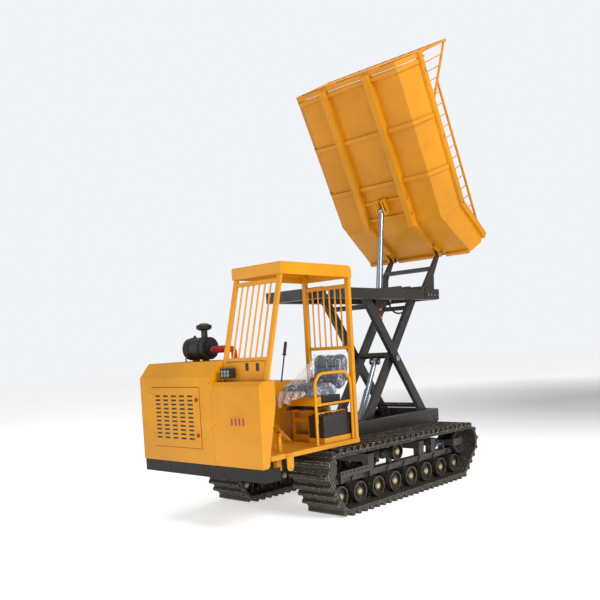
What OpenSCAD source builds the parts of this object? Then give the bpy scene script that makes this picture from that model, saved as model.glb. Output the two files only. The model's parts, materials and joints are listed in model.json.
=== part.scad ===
// Ride-on tracked dumper with a scissor high lift and a tipping bed.
// Millimetres, +Z up. The origin is on the ground, midway between the tracks and
// midway along their ground contact. The machine drives toward -Y, and its left
// side, where the operator sits, is +X. It is drawn raised and tipped.

/* [Tracks] */
// Width of one rubber belt
belt_w = 450; // [400:10:470]
// Distance from the centre plane to the middle of a belt
belt_x = 625; // [620:5:650]
// Radius of a bottom roller
roller_r = 98; // [90:1:100]
// Distance between neighbouring bottom rollers
roller_pitch = 290; // [270:5:295]
// Height of the rubber lugs
lug_h = 40; // [25:1:45]
// Distance from one lug to the next
lug_pitch = 98; // [80:2:120]

/* [Scissor lift] */
// Angle of the raised scissor arms above level
lift_angle = 52.8; // [40:0.2:54]
// Length of a scissor arm between its end pivots
arm_l = 1765; // [1700:5:1770]
// Depth of a scissor arm
arm_h = 100; // [80:2:104]

/* [Dump bed] */
// Angle of the tipped bed above level
tip_angle = 63; // [40:1:64]
// Length of the bed from its hinge to the end of its front frame
bed_l = 2236; // [2200:4:2270]
// Half the width of the flat floor
floor_x = 664; // [620:4:670]
// Height of the bed side, square to the floor
side_h = 250; // [220:5:260]

/* [Cab and hood] */
// Height of the platform floor
floor_z = 680; // [670:2:690]
// Top of the cab roof
roof_z = 2292; // [2250:2:2350]
// Top of the engine hood
hood_z = 1480; // [1460:2:1500]

/* [Hidden] */
$fn = 64;

yellow = "#E8A020";
dark = "#3C3835";
rubber = "#1E1E1E";
silver = "#B8C4CC";
black = "#252322";
maroon = "#6B3B3B";

// Running fit of every pin in its bore
fit = 0.05;

// Tracks: wheel centres and radii at the inner face of the belt
roller_z = 168;
roller_n = 8;
drive_y = -1150;
drive_z = 435;
drive_r = 125;
idler_y = 1180;
idler_z = 395;
idler_r = 140;
carrier_y = -80;
carrier_z = 456;
carrier_r = 88;
belt_gap = 2;
carcass = 28;
disc_in = 62;
disc_out = 120;
axle_r = 20;
beam_z0 = 272;
beam_z1 = 332;
function roller_y(i) = (i - (roller_n - 1) / 2) * roller_pitch;
belt_wheels = [
  [roller_y(0), roller_z, roller_r],
  [roller_y(roller_n - 1), roller_z, roller_r],
  [idler_y, idler_z, idler_r],
  [drive_y, drive_z, drive_r]
];

// Scissor lift: pivot places
rear_y = 1180;
low_z = 677;
high_z = low_z + arm_l * sin(lift_angle);
rail_z = high_z - 56;
outer_x = 251;
inner_x = 177;
arm_w = 50;
pin_r = 22;
mid_pin_r = 25;
slide_r_low = 60;
slide_r_high = 45;

// Cylinders: trunnion places, axis leans and stage ends, measured from the trunnion
tip_trunnion = [772, rail_z - 14.9];
tip_lean = 7.96;
tip_reach = 1086.5;
lift_trunnion = [258.4, 650];
lift_lean = 28.25;
lift_reach = 784.9;
trunnion_r = 20;
// Free room of a cylinder's upper pin in its bore or slot
pin_room = 4.5;
// Gap between the nested tubes of a cylinder
nest = 0.08;

// Bed: hinge axis and the side view of the trough, in the bed's own level frame
hinge = [rear_y + 397, rail_z + 552];
bed_floor = -245;
ramp_y = -512;
ramp_angle = 29.5;
ramp_l = 645;
// How much wider than the flat floor the ramp's tail is, on each side
flare = 50;
sheet = 6;
beam_x = 266;
beam_w = 72;
// Hinge lugs of the bed, and the tower plate that stands between them
lug_in = 296;
lug_out = 360;
lug_w = 16;
tower_x = 328;

module box(x0, x1, y0, y1, z0, z1) translate([x0, y0, z0]) cube([x1 - x0, y1 - y0, z1 - z0]);
module xcyl(r, x0, x1, y = 0, z = 0) translate([x0, y, z]) rotate([0, 90, 0]) cylinder(r = r, h = x1 - x0);
module ycyl(r, y0, y1, x = 0, z = 0) translate([x, y0, z]) rotate([-90, 0, 0]) cylinder(r = r, h = y1 - y0);
module pair() {
  children();
  mirror([1, 0, 0]) children();
}
// Extrudes an outline drawn in the side view (Y, Z) from x0 over a width w
module side_view(x0, w) translate([x0, 0, 0]) rotate([90, 0, 90]) linear_extrude(w) children();
// Places children drawn for the machine's left (+X) side on either side
module on_side(side) {
  if (side > 0) children();
  if (side < 0) mirror([1, 0, 0]) children();
}

// ---------------------------------------------------------------- tracks
function unit(a, b) = (b - a) / norm(b - a);
function place(w) = [w[0], w[1]];
// Outward normal of the belt run from wheel a to wheel b
function run_normal(a, b) =
  let (u = unit(place(a), place(b)), s = (a[2] - b[2]) / norm(place(b) - place(a)))
  s * u + sqrt(1 - s * s) * [u[1], -u[0]];
function next_wheel(i) = belt_wheels[(i + 1) % len(belt_wheels)];
function last_wheel(i) = belt_wheels[(i + len(belt_wheels) - 1) % len(belt_wheels)];
function run_start(i, e) =
  place(belt_wheels[i]) + (belt_wheels[i][2] + e) * run_normal(belt_wheels[i], next_wheel(i));
function run_end(i, e) =
  place(next_wheel(i)) + (next_wheel(i)[2] + e) * run_normal(belt_wheels[i], next_wheel(i));

module belt_outline(e) {
  polygon([for (i = [0:len(belt_wheels) - 1]) for (p = [run_start(i, e), run_end(i, e)]) p]);
  for (w = belt_wheels) translate(place(w)) circle(r = w[2] + e, $fn = 96);
}
module lug_at(p, n, h, base, tip) {
  t = [-n[1], n[0]];
  root = p - 3 * sign(h) * n;
  polygon([root - base * t, p + h * n - tip * t, p + h * n + tip * t, root + base * t]);
}
// One row of lugs round the belt: h above zero points outward, below zero inward
module lug_ring(e, h, base, tip) {
  for (i = [0:len(belt_wheels) - 1]) {
    a = run_start(i, e);
    b = run_end(i, e);
    count = round(norm(b - a) / lug_pitch);
    n = run_normal(belt_wheels[i], next_wheel(i));
    for (k = [0:count - 1]) lug_at(a + (b - a) * (k + 0.5) / count, n, h, base, tip);
    w = belt_wheels[i];
    n0 = run_normal(last_wheel(i), w);
    sweep = acos(n0 * n);
    turns = max(1, round((w[2] + e) * sweep * PI / 180 / lug_pitch));
    a0 = atan2(n0[1], n0[0]);
    for (k = [0:turns - 1]) {
      g = a0 + sweep * (k + 0.5) / turns;
      lug_at(place(w) + (w[2] + e) * [cos(g), sin(g)], [cos(g), sin(g)], h, base, tip);
    }
  }
}
module belt(side) color(rubber) on_side(side) {
  side_view(belt_x - belt_w / 2, belt_w) difference() {
    belt_outline(belt_gap + carcass);
    belt_outline(belt_gap);
  }
  side_view(belt_x - belt_w / 2 + 6, belt_w - 12) lug_ring(belt_gap + carcass, lug_h, 27, 13);
  for (s = [-1, 1]) side_view(belt_x + s * 38 - 10, 20) lug_ring(belt_gap, -36, 20, 9);
}
// A pair of roller discs on one axle, with open cup ends and hub caps
module wheel_set(side, y, z, r) color(black) on_side(side) difference() {
  union() {
    xcyl(axle_r, belt_x - disc_out + 2, belt_x + disc_out - 2, y, z);
    for (s = [-1, 1]) {
      x0 = belt_x + (s > 0 ? disc_in : -disc_out);
      difference() {
        xcyl(r, x0, x0 + disc_out - disc_in, y, z);
        xcyl(r - 11, s > 0 ? x0 + 20 : x0 - 1, s > 0 ? x0 + disc_out : x0 + 38, y, z);
      }
      xcyl(44, x0 + (s > 0 ? 10 : 15), x0 + (s > 0 ? 43 : 48), y, z);
      translate([belt_x + s * (disc_out - 16), y, z]) rotate([0, s * 90, 0]) cylinder(r1 = 30, r2 = 24, h = 14);
    }
  }
}
module sprocket(side) color(dark) on_side(side) translate([belt_x, drive_y, drive_z]) difference() {
  union() {
    xcyl(60, -90, 90);
    xcyl(97, -18, 18);
    for (s = [-1, 1]) xcyl(drive_r - 3, s > 0 ? disc_in : -92, s > 0 ? 92 : -disc_in);
    for (k = [0:8]) rotate([k * 40, 0, 0]) translate([-16, -14, 80]) cube([32, 28, 41]);
  }
  xcyl(30 + fit, -95, 95);
}
module idler(side) color(dark) on_side(side) translate([belt_x, idler_y, idler_z]) difference() {
  union() {
    xcyl(52, -104, 104);
    for (s = [-1, 1]) difference() {
      xcyl(idler_r - 1, s > 0 ? disc_in : -104, s > 0 ? 104 : -disc_in);
      xcyl(idler_r - 16, s > 0 ? disc_in + 14 : -106, s > 0 ? 106 : -disc_in - 14);
    }
    for (s = [-1, 1]) xcyl(52, s > 0 ? disc_in : -104, s > 0 ? 104 : -disc_in);
  }
  xcyl(25 + fit, -110, 110);
}
module bearing_housing(y, z) {
  xcyl(34, belt_x - 37, belt_x + 37, y, z);
}
module track_frame(side) color(dark) on_side(side) difference() {
  union() {
    box(580, 670, -1060, 1095, beam_z0, beam_z1);
    for (i = [0:roller_n - 1]) {
      bearing_housing(roller_y(i), roller_z);
      box(602, 648, roller_y(i) - 28, roller_y(i) + 28, roller_z, beam_z0 + 1);
      side_view(676, 8) translate([roller_y(i), beam_z0 + 4]) difference() {
        circle(r = 46);
        translate([-60, -120]) square([120, 120]);
      }
      box(665, 680, roller_y(i) - 20, roller_y(i) + 20, beam_z0 + 6, beam_z1 - 4);
    }
    // post of the carrier roller
    bearing_housing(carrier_y, carrier_z);
    box(604, 646, carrier_y - 24, carrier_y + 24, beam_z1 - 1, carrier_z);
    // perforated side rail
    box(669, 712, -970, -490, beam_z1, beam_z1 + 8);
    box(704, 712, -970, -490, beam_z1, beam_z1 + 58);
    box(665, 712, -970, -940, beam_z0 + 8, beam_z1 + 4);
    box(665, 712, -520, -490, beam_z0 + 8, beam_z1 + 4);
    // front bracket, stub shaft and drive motor of the sprocket
    side_view(508, 14) union() {
      polygon([[-1085, 276], [-880, 276], [-880, 332], [-1062, 470], [-1225, 400]]);
      translate([drive_y, drive_z]) circle(r = 82);
    }
    box(508, 582, -1070, -900, 276, beam_z1);
    xcyl(30, 500, belt_x + 96, drive_y, drive_z);
    xcyl(40, belt_x + 95, belt_x + 108, drive_y, drive_z);
    xcyl(68, 424, 509, drive_y, drive_z);
    xcyl(46, 404, 425, drive_y, drive_z);
    // tensioner yoke and adjusting screw of the idler
    for (x0 = [500, 734]) side_view(x0, 16) union() {
      translate([idler_y, idler_z]) circle(r = 40);
      polygon([[1000, 360], [idler_y, idler_z - 40], [idler_y, idler_z + 40], [1000, 430]]);
    }
    box(500, 750, 1000, 1018, 360, 430);
    ycyl(17, 800, 1001, belt_x, idler_z);
    ycyl(30, 800, 822, belt_x, idler_z);
    ycyl(30, 880, 904, belt_x, idler_z);
    box(590, 660, 925, 950, beam_z1 - 1, 432);
    xcyl(25, 500, 750, idler_y, idler_z);
    // seats of the cross beams
    for (y = cross_beams) box(588, 662, y - 45, y + 45, beam_z1 - 1, cross_z0);
  }
  for (i = [0:roller_n - 1]) xcyl(axle_r + fit, belt_x - 60, belt_x + 60, roller_y(i), roller_z);
  xcyl(axle_r + fit, belt_x - 60, belt_x + 60, carrier_y, carrier_z);
  for (k = [0:7]) xcyl(11, 700, 716, -940 + k * 60, beam_z1 + 34);
}

// ---------------------------------------------------------------- chassis
cross_beams = [-430, 480, 720];
cross_z0 = 400;
cross_z1 = 480;
chassis_x = 320;
chassis_w = 70;
chassis_z0 = 490;
chassis_z1 = 604;
chassis_y0 = -1990;
chassis_y1 = 1280;
bearer_x = 120;
bearer_w = 60;
outriggers = [-1880, -1300, -860];
outrigger_z0 = 636;

module chassis_frame() color(dark) difference() {
  union() {
    pair() {
      box(chassis_x, chassis_x + chassis_w, chassis_y0, chassis_y1, chassis_z0, chassis_z1);
      for (y = cross_beams) box(chassis_x, chassis_x + chassis_w, y - 45, y + 45, cross_z1 - 1, chassis_z0 + 1);
    }
    for (y = cross_beams) box(-665, 665, y - 45, y + 45, cross_z0, cross_z1);
    for (y = [chassis_y0, -1350, -760, 1220]) box(-chassis_x - 1, chassis_x + 1, y, y + 60, chassis_z0, chassis_z1 - 24);
    // engine bearer beside the hood wall
    box(bearer_x, bearer_x + bearer_w, chassis_y0 + 59, -1349, 520, chassis_z1);
    // outriggers that carry the hood, the tank cover and the platform over the tracks
    for (y = outriggers) {
      box(-812, -chassis_x, y, y + 50, outrigger_z0, floor_z - 9);
      box(chassis_x, 715, y, y + 50, outrigger_z0, floor_z - 9);
      pair() box(chassis_x, chassis_x + chassis_w, y, y + 50, chassis_z1 - 1, floor_z - 9);
    }
  }
  // front ends of the rails, stepped down under the hood and the console
  box(-chassis_x - 80, chassis_x + 80, chassis_y0 - 1, -1940, hood_z0 - 2, chassis_z1 + 1);
  // bolt holes of the towing plate in the rear cross member
  for (x = [-75, 75]) ycyl(9, 1210, 1290, x, 545);
}
// Scissor base: two channels, cross plates, the fixed rear pins and the lift trunnion plates
base_y0 = -700;
base_y1 = 1302;
base_z0 = 605;
base_z1 = 748;
module lift_base() color(dark) {
  difference() {
    union() {
      pair() {
        box(385, 393, base_y0, base_y1, base_z0, base_z1);
        box(323, 393, base_y0, base_y1, base_z0, base_z0 + 10);
        box(323, 393, base_y0, base_y1, base_z1 - 10, base_z1);
        xcyl(pin_r, outer_x - 6, 386, rear_y, low_z);
        xcyl(36, outer_x + arm_w + 3, 386, rear_y, low_z);
        side_view(55, 20) polygon([
          [108, base_z0], [382, base_z0], [382, 640], [322, 694], [200, 694], [108, 640]
        ]);
      }
      box(-323, 323, base_y0, -645, base_z0, base_z1);
      box(-323, 323, base_y1 - 52, base_y1, base_z0, base_z1);
      box(-324, 324, 110, 160, base_z0, base_z0 + 12);
      box(-324, 324, 330, 380, base_z0, base_z0 + 12);
      box(-324, 324, 930, 990, base_z0, base_z0 + 12);
    }
    xcyl(trunnion_r + fit, -80, 80, lift_trunnion[0], lift_trunnion[1]);
  }
  // U-bolts and their plates on the channels
  pair() for (y = [-560, 320, 1243]) {
    box(394, 399, y - 34, y + 34, base_z0 + 20, base_z0 + 62);
    for (d = [-20, 20]) translate([395, y + d, chassis_z0 - 14]) cylinder(r = 4.5, h = 150);
    for (d = [-20, 20]) translate([395, y + d, base_z0 + 62]) cylinder(r = 9, h = 9, $fn = 6);
  }
}
module front_skirt() color(black) {
  difference() {
    box(-818, 785, -2022, -1840, 475, 584);
    box(-810, 777, -2014, -1839, 474, 585);
  }
  pair() box(330, 380, -2015, -1992, 520, 570);
}

// ---------------------------------------------------------------- engine and hood
hood_x0 = -825;
hood_x1 = 193;
hood_y0 = -2030;
hood_y1 = -1300;
hood_z0 = 585;
wall = 5;
door = [-650, 35, 717, 1265];

module engine() color(dark) {
  // cylinder block, head, sump and flywheel housing as one casting group
  box(-420, -80, -1790, -1420, 760, 1090);
  box(-400, -110, -1780, -1430, 1091, 1200);
  box(-380, -120, -1770, -1440, 640, 759);
  ycyl(150, -1419, -1340, -250, 840);
  ycyl(26, -1830, -1791, -250, 960);
  // mounting beams and their feet on the right rail and the engine bearer
  for (y = [-1740, -1480]) {
    box(-419, bearer_x + bearer_w, y, y + 50, 641, 690);
    for (x = [-385, bearer_x]) box(x, x + bearer_w, y, y + 50, 605, 642);
  }
  // radiator core in its frame
  difference() {
    box(-600, -10, -1950, -1890, 640, 1270);
    for (z = [670:24:1230]) box(-570, -40, -1951, -1925, z, z + 12);
  }
  // fan on its hub
  ycyl(38, -1872, -1831, -250, 960);
  for (k = [0:5]) translate([-250, -1850, 960]) rotate([0, k * 60, 0]) rotate([0, 0, 25]) translate([-30, -3, 34]) cube([60, 6, 190]);
}
module hood_profile(d) polygon([
  [hood_y0 + d, hood_z0 - 1 + d], [hood_y1 + (d > 0 ? 1 : 0), hood_z0 - 1 + d],
  [hood_y1 + (d > 0 ? 1 : 0), hood_z - d], [hood_y0 + 115 + d / 2, hood_z - d], [hood_y0 + d, hood_z - 130 - d / 2]
]);
module engine_hood() color(yellow) difference() {
  side_view(hood_x0, hood_x1 - hood_x0) translate([0, 1]) hood_profile(0);
  side_view(hood_x0 + wall, hood_x1 - hood_x0 - 2 * wall) hood_profile(wall);
  box(hood_x0 + wall, hood_x1 - wall, hood_y0 + wall, hood_y1 + 1, hood_z0 - 1, hood_z0 + wall + 2);
  box(door[0], door[1], hood_y0 - 1, hood_y0 + wall + 1, door[2], door[3]);
  // side air slots
  for (k = [0:7]) box(hood_x0 - 1, hood_x0 + wall + 1, -1900, -1620, 800 + k * 45, 818 + k * 45);
  // holes of the intake hose and the exhaust stack
  translate([105, -1650, hood_z - 10]) cylinder(r = 32, h = 20);
  translate([-60, -1500, hood_z - 10]) cylinder(r = 30, h = 20);
}
module hood_door() color(yellow) {
  difference() {
    box(door[0] + 4, door[1] - 4, hood_y0 - 4, hood_y0, door[2] + 4, door[3] - 4);
    for (c = [0:4]) for (r = [0:10]) {
      x = -558 + c * 116;
      z = 795 + r * 38;
      box(x - 36, x + 36, hood_y0 - 5, hood_y0 + 1, z, z + 16);
    }
    for (z = latch_z) ycyl(10 + fit, hood_y0 - 10, hood_y0 + 10, latch_x, z);
  }
  // hinge knuckles on the edge
  for (z = [door[2] + 60, door[3] - 120]) translate([door[0] - 3, hood_y0 - 7, z]) cylinder(r = 6, h = 60);
  for (z = [door[2] + 60, door[3] - 120]) box(door[0] - 2, door[0] + 30, hood_y0 - 7, hood_y0 - 3.5, z, z + 60);
}
latch_x = -4;
latch_z = [837, 1151];
module latch(z) color("#A02020") {
  ycyl(10, hood_y0 - 6, hood_y0 + 8, latch_x, z);
  ycyl(17, hood_y0 - 14, hood_y0 - 4.5, latch_x, z);
  box(latch_x - 4, latch_x + 4, hood_y0 - 22, hood_y0 - 12, z - 14, z + 14);
}
// Cover of the fuel and oil tanks behind the hood
lever_foot = [160, -1122, 1195];
lever_lean = 13.7;
module rear_cover() color(yellow) {
  difference() {
    union() {
      difference() {
        box(hood_x0, hood_x1, hood_y1 + 2, -790, hood_z0, 1240);
        box(hood_x0 + wall, hood_x1 - wall, hood_y1 + 1, -795, hood_z0 - 1, 1235);
      }
      // bearing plates of the lever
      for (x = [130, 180]) box(x, x + 10, lever_foot[1] - 18, lever_foot[1] + 18, 1177, 1236);
    }
    xcyl(6 + fit, 128, 191, lever_foot[1], lever_foot[2]);
    for (k = [0:3]) box(hood_x0 - 1, hood_x0 + wall + 1, -1180, -920, 880 + k * 50, 900 + k * 50);
    // slot of the lever
    box(148, 172, -1220, -1020, 1230, 1245);
    // clearance over the track and round the chassis rail
    box(hood_x0 - 1, -chassis_x - chassis_w - 5, hood_y1, -789, hood_z0 - 1, outrigger_z0);
    box(-chassis_x - chassis_w - 6, 5 - chassis_x, -796, -789, hood_z0 - 1, chassis_z1 + 5);
  }
  translate([-560, -1000, 1241]) cylinder(r = 48, h = 26);
}
module console_profile(d) polygon([
  [hood_y0 + d, 586 + d], [-1968 - d, 586 + d], [-1950 - d, 604 + d], [-1935 - d, 697], [-1842 - d, 1112],
  [-1842 - d, 1302 - d], [-1995 + d / 2, 1302 - d], [hood_y0 + d, 1264 - d / 2]
]);
module console() color(yellow) {
  difference() {
    side_view(hood_x1 + 2, 580) console_profile(0);
    side_view(hood_x1 + 6, 572) console_profile(4);
  }
  // raised plain plate
  box(392, 592, hood_y0 - 2, hood_y0, 930, 1010);
  // dash panel between the guard posts
  difference() {
    box(238, 713, -1900, -1892, 1303, 1460);
    box(499, 539, -1901, -1891, 1388, 1455);
    box(624, 664, -1901, -1891, 1385, 1452);
  }
  box(238, 713, -1892, -1845, 1303, 1309);
}
module work_lamp() color(black) {
  box(246, 386, -1962, -1912, 1332, 1416);
  box(254, 378, -1966, -1961.5, 1340, 1408);
  box(306, 326, -1912.5, -1901, 1350, 1400);
}
module air_cleaner() {
  color(black) {
    xcyl(105, -500, -215, -1650, 1600);
    xcyl(112, -300, -280, -1650, 1600);
    xcyl(112, -440, -424, -1650, 1600);
    xcyl(86, -520, -499, -1650, 1600);
    xcyl(72, -216, -196, -1650, 1600);
    // wing nuts of the clamps
    for (x = [-432, -290]) translate([x - 6, -1660, 1711]) cube([12, 20, 16]);
    // pre-cleaner neck and cap
    translate([-290, -1650, 1700]) cylinder(r = 30, h = 82);
    translate([-290, -1650, 1770]) cylinder(r1 = 46, r2 = 70, h = 14);
    translate([-290, -1650, 1784]) cylinder(r = 72, h = 34);
    translate([-290, -1650, 1818]) cylinder(r1 = 68, r2 = 30, h = 18);
    // mounting feet
    for (x = [-440, -300]) box(x, x + 16, -1690, -1610, hood_z + 1, 1500);
  }
  // hose from the canister into the hood
  color("#C03038") {
    xcyl(27, -195, 60, -1650, 1585);
    translate([60, -1650, 1540]) rotate([90, 0, 0]) rotate_extrude(angle = 90) translate([45, 0]) circle(r = 27);
    translate([105, -1650, 1450]) cylinder(r = 27, h = 90);
  }
  // exhaust stack
  color(silver) translate([-60, -1500, 1400]) cylinder(r = 24, h = 170);
}

// ---------------------------------------------------------------- cab
cab_x0 = 195;
cab_x1 = 765;
post_w = 42;
guard_foot = [-1905, 1303];
guard_head = [-1650, 2262];
rear_post_y = -779;
guard_lean = atan2(guard_head[0] - guard_foot[0], guard_head[1] - guard_foot[1]);
guard_l = norm(guard_head - guard_foot);

module platform() color(yellow) {
  difference() {
    union() {
      box(199, 765, -1930, -726, floor_z - 8, floor_z);
      box(727, 768, -1925, -726, 640, floor_z);
      box(199, 768, -766, -726, 640, floor_z);
      for (y = [-1600, -1100]) box(400, 730, y, y + 40, 640, floor_z - 7);
      // hanging side lug
      side_view(769, 10) union() {
        translate([-1706, 566]) circle(r = 38);
        polygon([[-1748, 676], [-1744, 566], [-1668, 566], [-1662, 676]]);
      }
      xcyl(10, 778, 785, -1725, 655);
      xcyl(10, 778, 785, -1685, 655);
    }
    xcyl(9, 760, 785, -1706, 548);
    // checker plate grip slots near the edge
    for (k = [0:8]) box(640, 700, -1560 + k * 36, -1552 + k * 36, floor_z - 9, floor_z + 1);
  }
  // pedal post and link bracket
  side_view(642, 16) difference() {
    union() {
      translate([pedal_pivot[0] - 18, floor_z - 1]) square([36, 132]);
      translate([pedal_pivot[0] - 12, 800]) square([24, pedal_pivot[1] - 800]);
      translate(pedal_pivot) circle(r = 12);
    }
    translate(pedal_pivot) circle(r = 8 + fit);
  }
  box(660, 700, -1792, -1736, 530, floor_z - 7.5);
}
module guard_bar(y, z, h, d) box(cab_x0 + 1, cab_x1 - 1, y - d / 2, y + d / 2, z - h / 2, z + h / 2);
module cab_frame() color(yellow) {
  bar_n = 6;
  gap = (cab_x1 - cab_x0 - 2 * post_w) / (bar_n + 1);
  difference() {
    translate([0, guard_foot[0], guard_foot[1]]) rotate([-guard_lean, 0, 0]) {
      for (x = [cab_x0, cab_x1 - post_w]) box(x, x + post_w, -14, 14, -30, guard_l + 30);
      guard_bar(0, 186, 30, 22);
      guard_bar(0, guard_l - 130, 34, 22);
      for (k = [1:bar_n]) translate([cab_x0 + post_w + k * gap, 0, 186]) cylinder(r = 8, h = guard_l - 316);
    }
    box(cab_x0 - 10, cab_x1 + 10, -2000, -1500, 1200, 1303);
    box(cab_x0 - 10, cab_x1 + 10, -2000, -1400, roof_z - 9, 2500);
  }
  for (x = [cab_x0, cab_x1 - post_w]) box(x, x + post_w, rear_post_y, rear_post_y + post_w, floor_z, roof_z - 55);
  rear_mid = rear_post_y + post_w / 2;
  guard_bar(rear_mid, 2108, 36, 24);
  guard_bar(rear_mid, 1533, 32, 24);
  guard_bar(rear_mid, 1238, 32, 24);
  for (k = [1:bar_n]) translate([cab_x0 + post_w + k * gap, rear_mid, 1533]) cylinder(r = 8, h = 575);
  // top rails under the roof
  for (x = [cab_x0, cab_x1 - post_w]) box(x, x + post_w, -1640, rear_post_y + 12, roof_z - 62, roof_z - 12);
}
module cab_roof() color(yellow) {
  r = 55;
  y0 = -1692;
  y1 = -729;
  difference() {
    side_view(178, 595) union() {
      polygon([[y0, 2188], [y1, 2180], [y1, roof_z - r], [y1 - r, roof_z], [y0 + 14, roof_z], [y0, roof_z - 12]]);
      translate([y1 - r, roof_z - r]) circle(r = r);
    }
    side_view(183, 585) union() {
      polygon([
        [y0 + 6, 2170], [y1 - 6, 2170], [y1 - 6, roof_z - r], [y1 - r, roof_z - 8],
        [y0 + 6, roof_z - 8]
      ]);
      translate([y1 - r, roof_z - r]) circle(r = r - 8);
    }
  }
}
rail_x = 745;
rail_r = 14;
straight_r = 13.4;
module arm_rail() color(yellow) {
  front = -1306;
  back = -796;
  bend = 125;
  top = 1318;
  for (y = [front, back]) translate([rail_x, y, floor_z + 1]) cylinder(r = straight_r, h = top - bend - floor_z + 4);
  ycyl(straight_r, front + bend - 5, back - bend + 5, rail_x, top);
  translate([rail_x, front + bend, top - bend]) rotate([90, 0, -90]) rotate_extrude(angle = 90) translate([bend, 0]) circle(r = rail_r);
  translate([rail_x, back - bend, top - bend]) rotate([90, 0, 90]) rotate_extrude(angle = 90) translate([bend, 0]) circle(r = rail_r);
  ycyl(11, front + 10, back - 10, rail_x, 1040);
}

// ---------------------------------------------------------------- seat, battery, controls
stand_x0 = 270;
stand_x1 = 528;
stand_y0 = -1105;
stand_y1 = -840;
module seat_stand() {
  color(yellow) difference() {
    box(stand_x0, stand_x1, stand_y0, stand_y1, floor_z + 1, 984);
    box(stand_x0 + 6, stand_x1 - 6, stand_y0 + 6, stand_y1 - 6, floor_z, 978);
    // windows of the front, back and sides
    box(stand_x0 + 36, stand_x1 - 60, stand_y0 - 1, stand_y1 + 1, 744, 855);
    box(stand_x0 + 36, stand_x1 - 60, stand_y0 - 1, stand_y1 + 1, 903, 944);
    box(stand_x0 - 1, stand_x1 + 1, stand_y0 + 40, stand_y1 - 40, 744, 944);
  }
  // seat slides
  color(black) {
    for (x = [330, 480]) box(x, x + 46, -1240, -860, 985, 998);
    box(stand_x0 + 10, stand_x1 + 80, -1180, -1120, 985, 990);
  }
}
module seat_base() {
  color(black) {
    for (x = [332, 482]) box(x, x + 42, -1220, -880, 999, 1012);
    box(340, 690, -1150, -890, 1012, 1108);
  }
  color(yellow) side_view(350, 330) polygon([[-1262, 1030], [-1151, 1013], [-1151, 1108], [-1240, 1108]]);
}
module seat_cushion() color("#3A3F46") {
  side_view(322, 400) polygon([
    [-1330, 1150], [-1315, 1112], [-912, 1112], [-910, 1190], [-935, 1208], [-1280, 1212], [-1318, 1194]
  ]);
}
module seat_back() color("#3A3F46") {
  side_view(314, 412) polygon([
    [-893, 1130], [-852, 1126], [-800, 1440], [-804, 1490], [-830, 1508], [-866, 1500], [-878, 1470], [-905, 1230]
  ]);
}
bat_x0 = 540;
bat_x1 = 714;
bat_y0 = -1176;
bat_y1 = -772;
module battery() {
  color(black) {
    box(bat_x0, bat_x1, bat_y0, bat_y1, 713, 900);
    box(bat_x0 - 3, bat_x1 + 3, bat_y0 - 3, bat_y1 + 3, 900, 928);
    for (k = [0:5]) translate([627, -1130 + k * 62, 928]) cylinder(r = 14, h = 8);
    for (y = [-1140, -806]) translate([690, y, 928]) cylinder(r1 = 10, r2 = 9, h = 18);
    for (k = [0:9]) box(bat_x1, bat_x1 + 3, bat_y0 + 20 + k * 38, bat_y0 + 30 + k * 38, 730, 885);
  }
  color(yellow) {
    difference() {
      box(bat_x0 - 6, bat_x1 + 8, bat_y0 - 8, bat_y1 + 4, floor_z + 1, 730);
      box(bat_x0 - 1, bat_x1 + 4, bat_y0 - 4, bat_y1 + 0.5, 712, 731);
    }
    // hold-down bar with its end hooks
    box(640, 662, bat_y0 - 8, bat_y1 - 20, 949, 960);
    box(640, 662, bat_y1 - 28, bat_y1 - 16, 929, 960);
    box(640, 662, bat_y0 - 12, bat_y0 - 4, 860, 960);
  }
}
pedal_pivot = [-1694, 832];
pedal_slope = 42;
module foot_pedal() {
  translate([0, pedal_pivot[0], pedal_pivot[1]]) rotate([-pedal_slope, 0, 0]) {
    color("#D06A20") box(606, 694, -70, 118, 14, 20);
    color(black) box(602, 698, -74, 122, 20, 27);
    color(dark) for (x = [628, 662]) box(x, x + 10, -14, 14, -12, 15);
    color(dark) xcyl(8, 626, 674);
  }
}
module shift_lever() color(black) translate(lever_foot) rotate([-lever_lean, 0, 0]) {
  cylinder(r = 7, h = 320);
  translate([0, 0, 318]) cylinder(r1 = 13, r2 = 15, h = 6);
  translate([0, 0, 324]) cylinder(r = 15, h = 108);
  translate([0, 0, 306]) cylinder(r = 19, h = 12);
  translate([0, 0, 432]) cylinder(r1 = 15, r2 = 8, h = 8);
  xcyl(13, -14, 14);
  xcyl(6, -29, 29);
}

// ---------------------------------------------------------------- scissor lift
module arm_bar(x0) {
  box(x0, x0 + arm_w, -arm_l, 0, -arm_h / 2, arm_h / 2);
  xcyl(arm_h / 2, x0, x0 + arm_w, 0, 0);
  xcyl(arm_h / 2, x0, x0 + arm_w, -arm_l, 0);
}
module outer_arms() color(dark) translate([0, rear_y, low_z]) rotate([-lift_angle, 0, 0]) {
  difference() {
    union() {
      pair() {
        arm_bar(outer_x);
        xcyl(pin_r, outer_x + arm_w - 1, 330, -arm_l, 0);
        xcyl(slide_r_high, 326, 371, -arm_l, 0);
      }
      for (y = [-160, 160 - arm_l]) xcyl(28, -outer_x - 1, outer_x + 1, y, 0);
    }
    pair() {
      xcyl(pin_r + fit, outer_x - 2, outer_x + arm_w + 2, 0, 0);
      xcyl(mid_pin_r + fit, outer_x - 2, outer_x + arm_w + 2, -arm_l / 2, 0);
    }
  }
}
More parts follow.
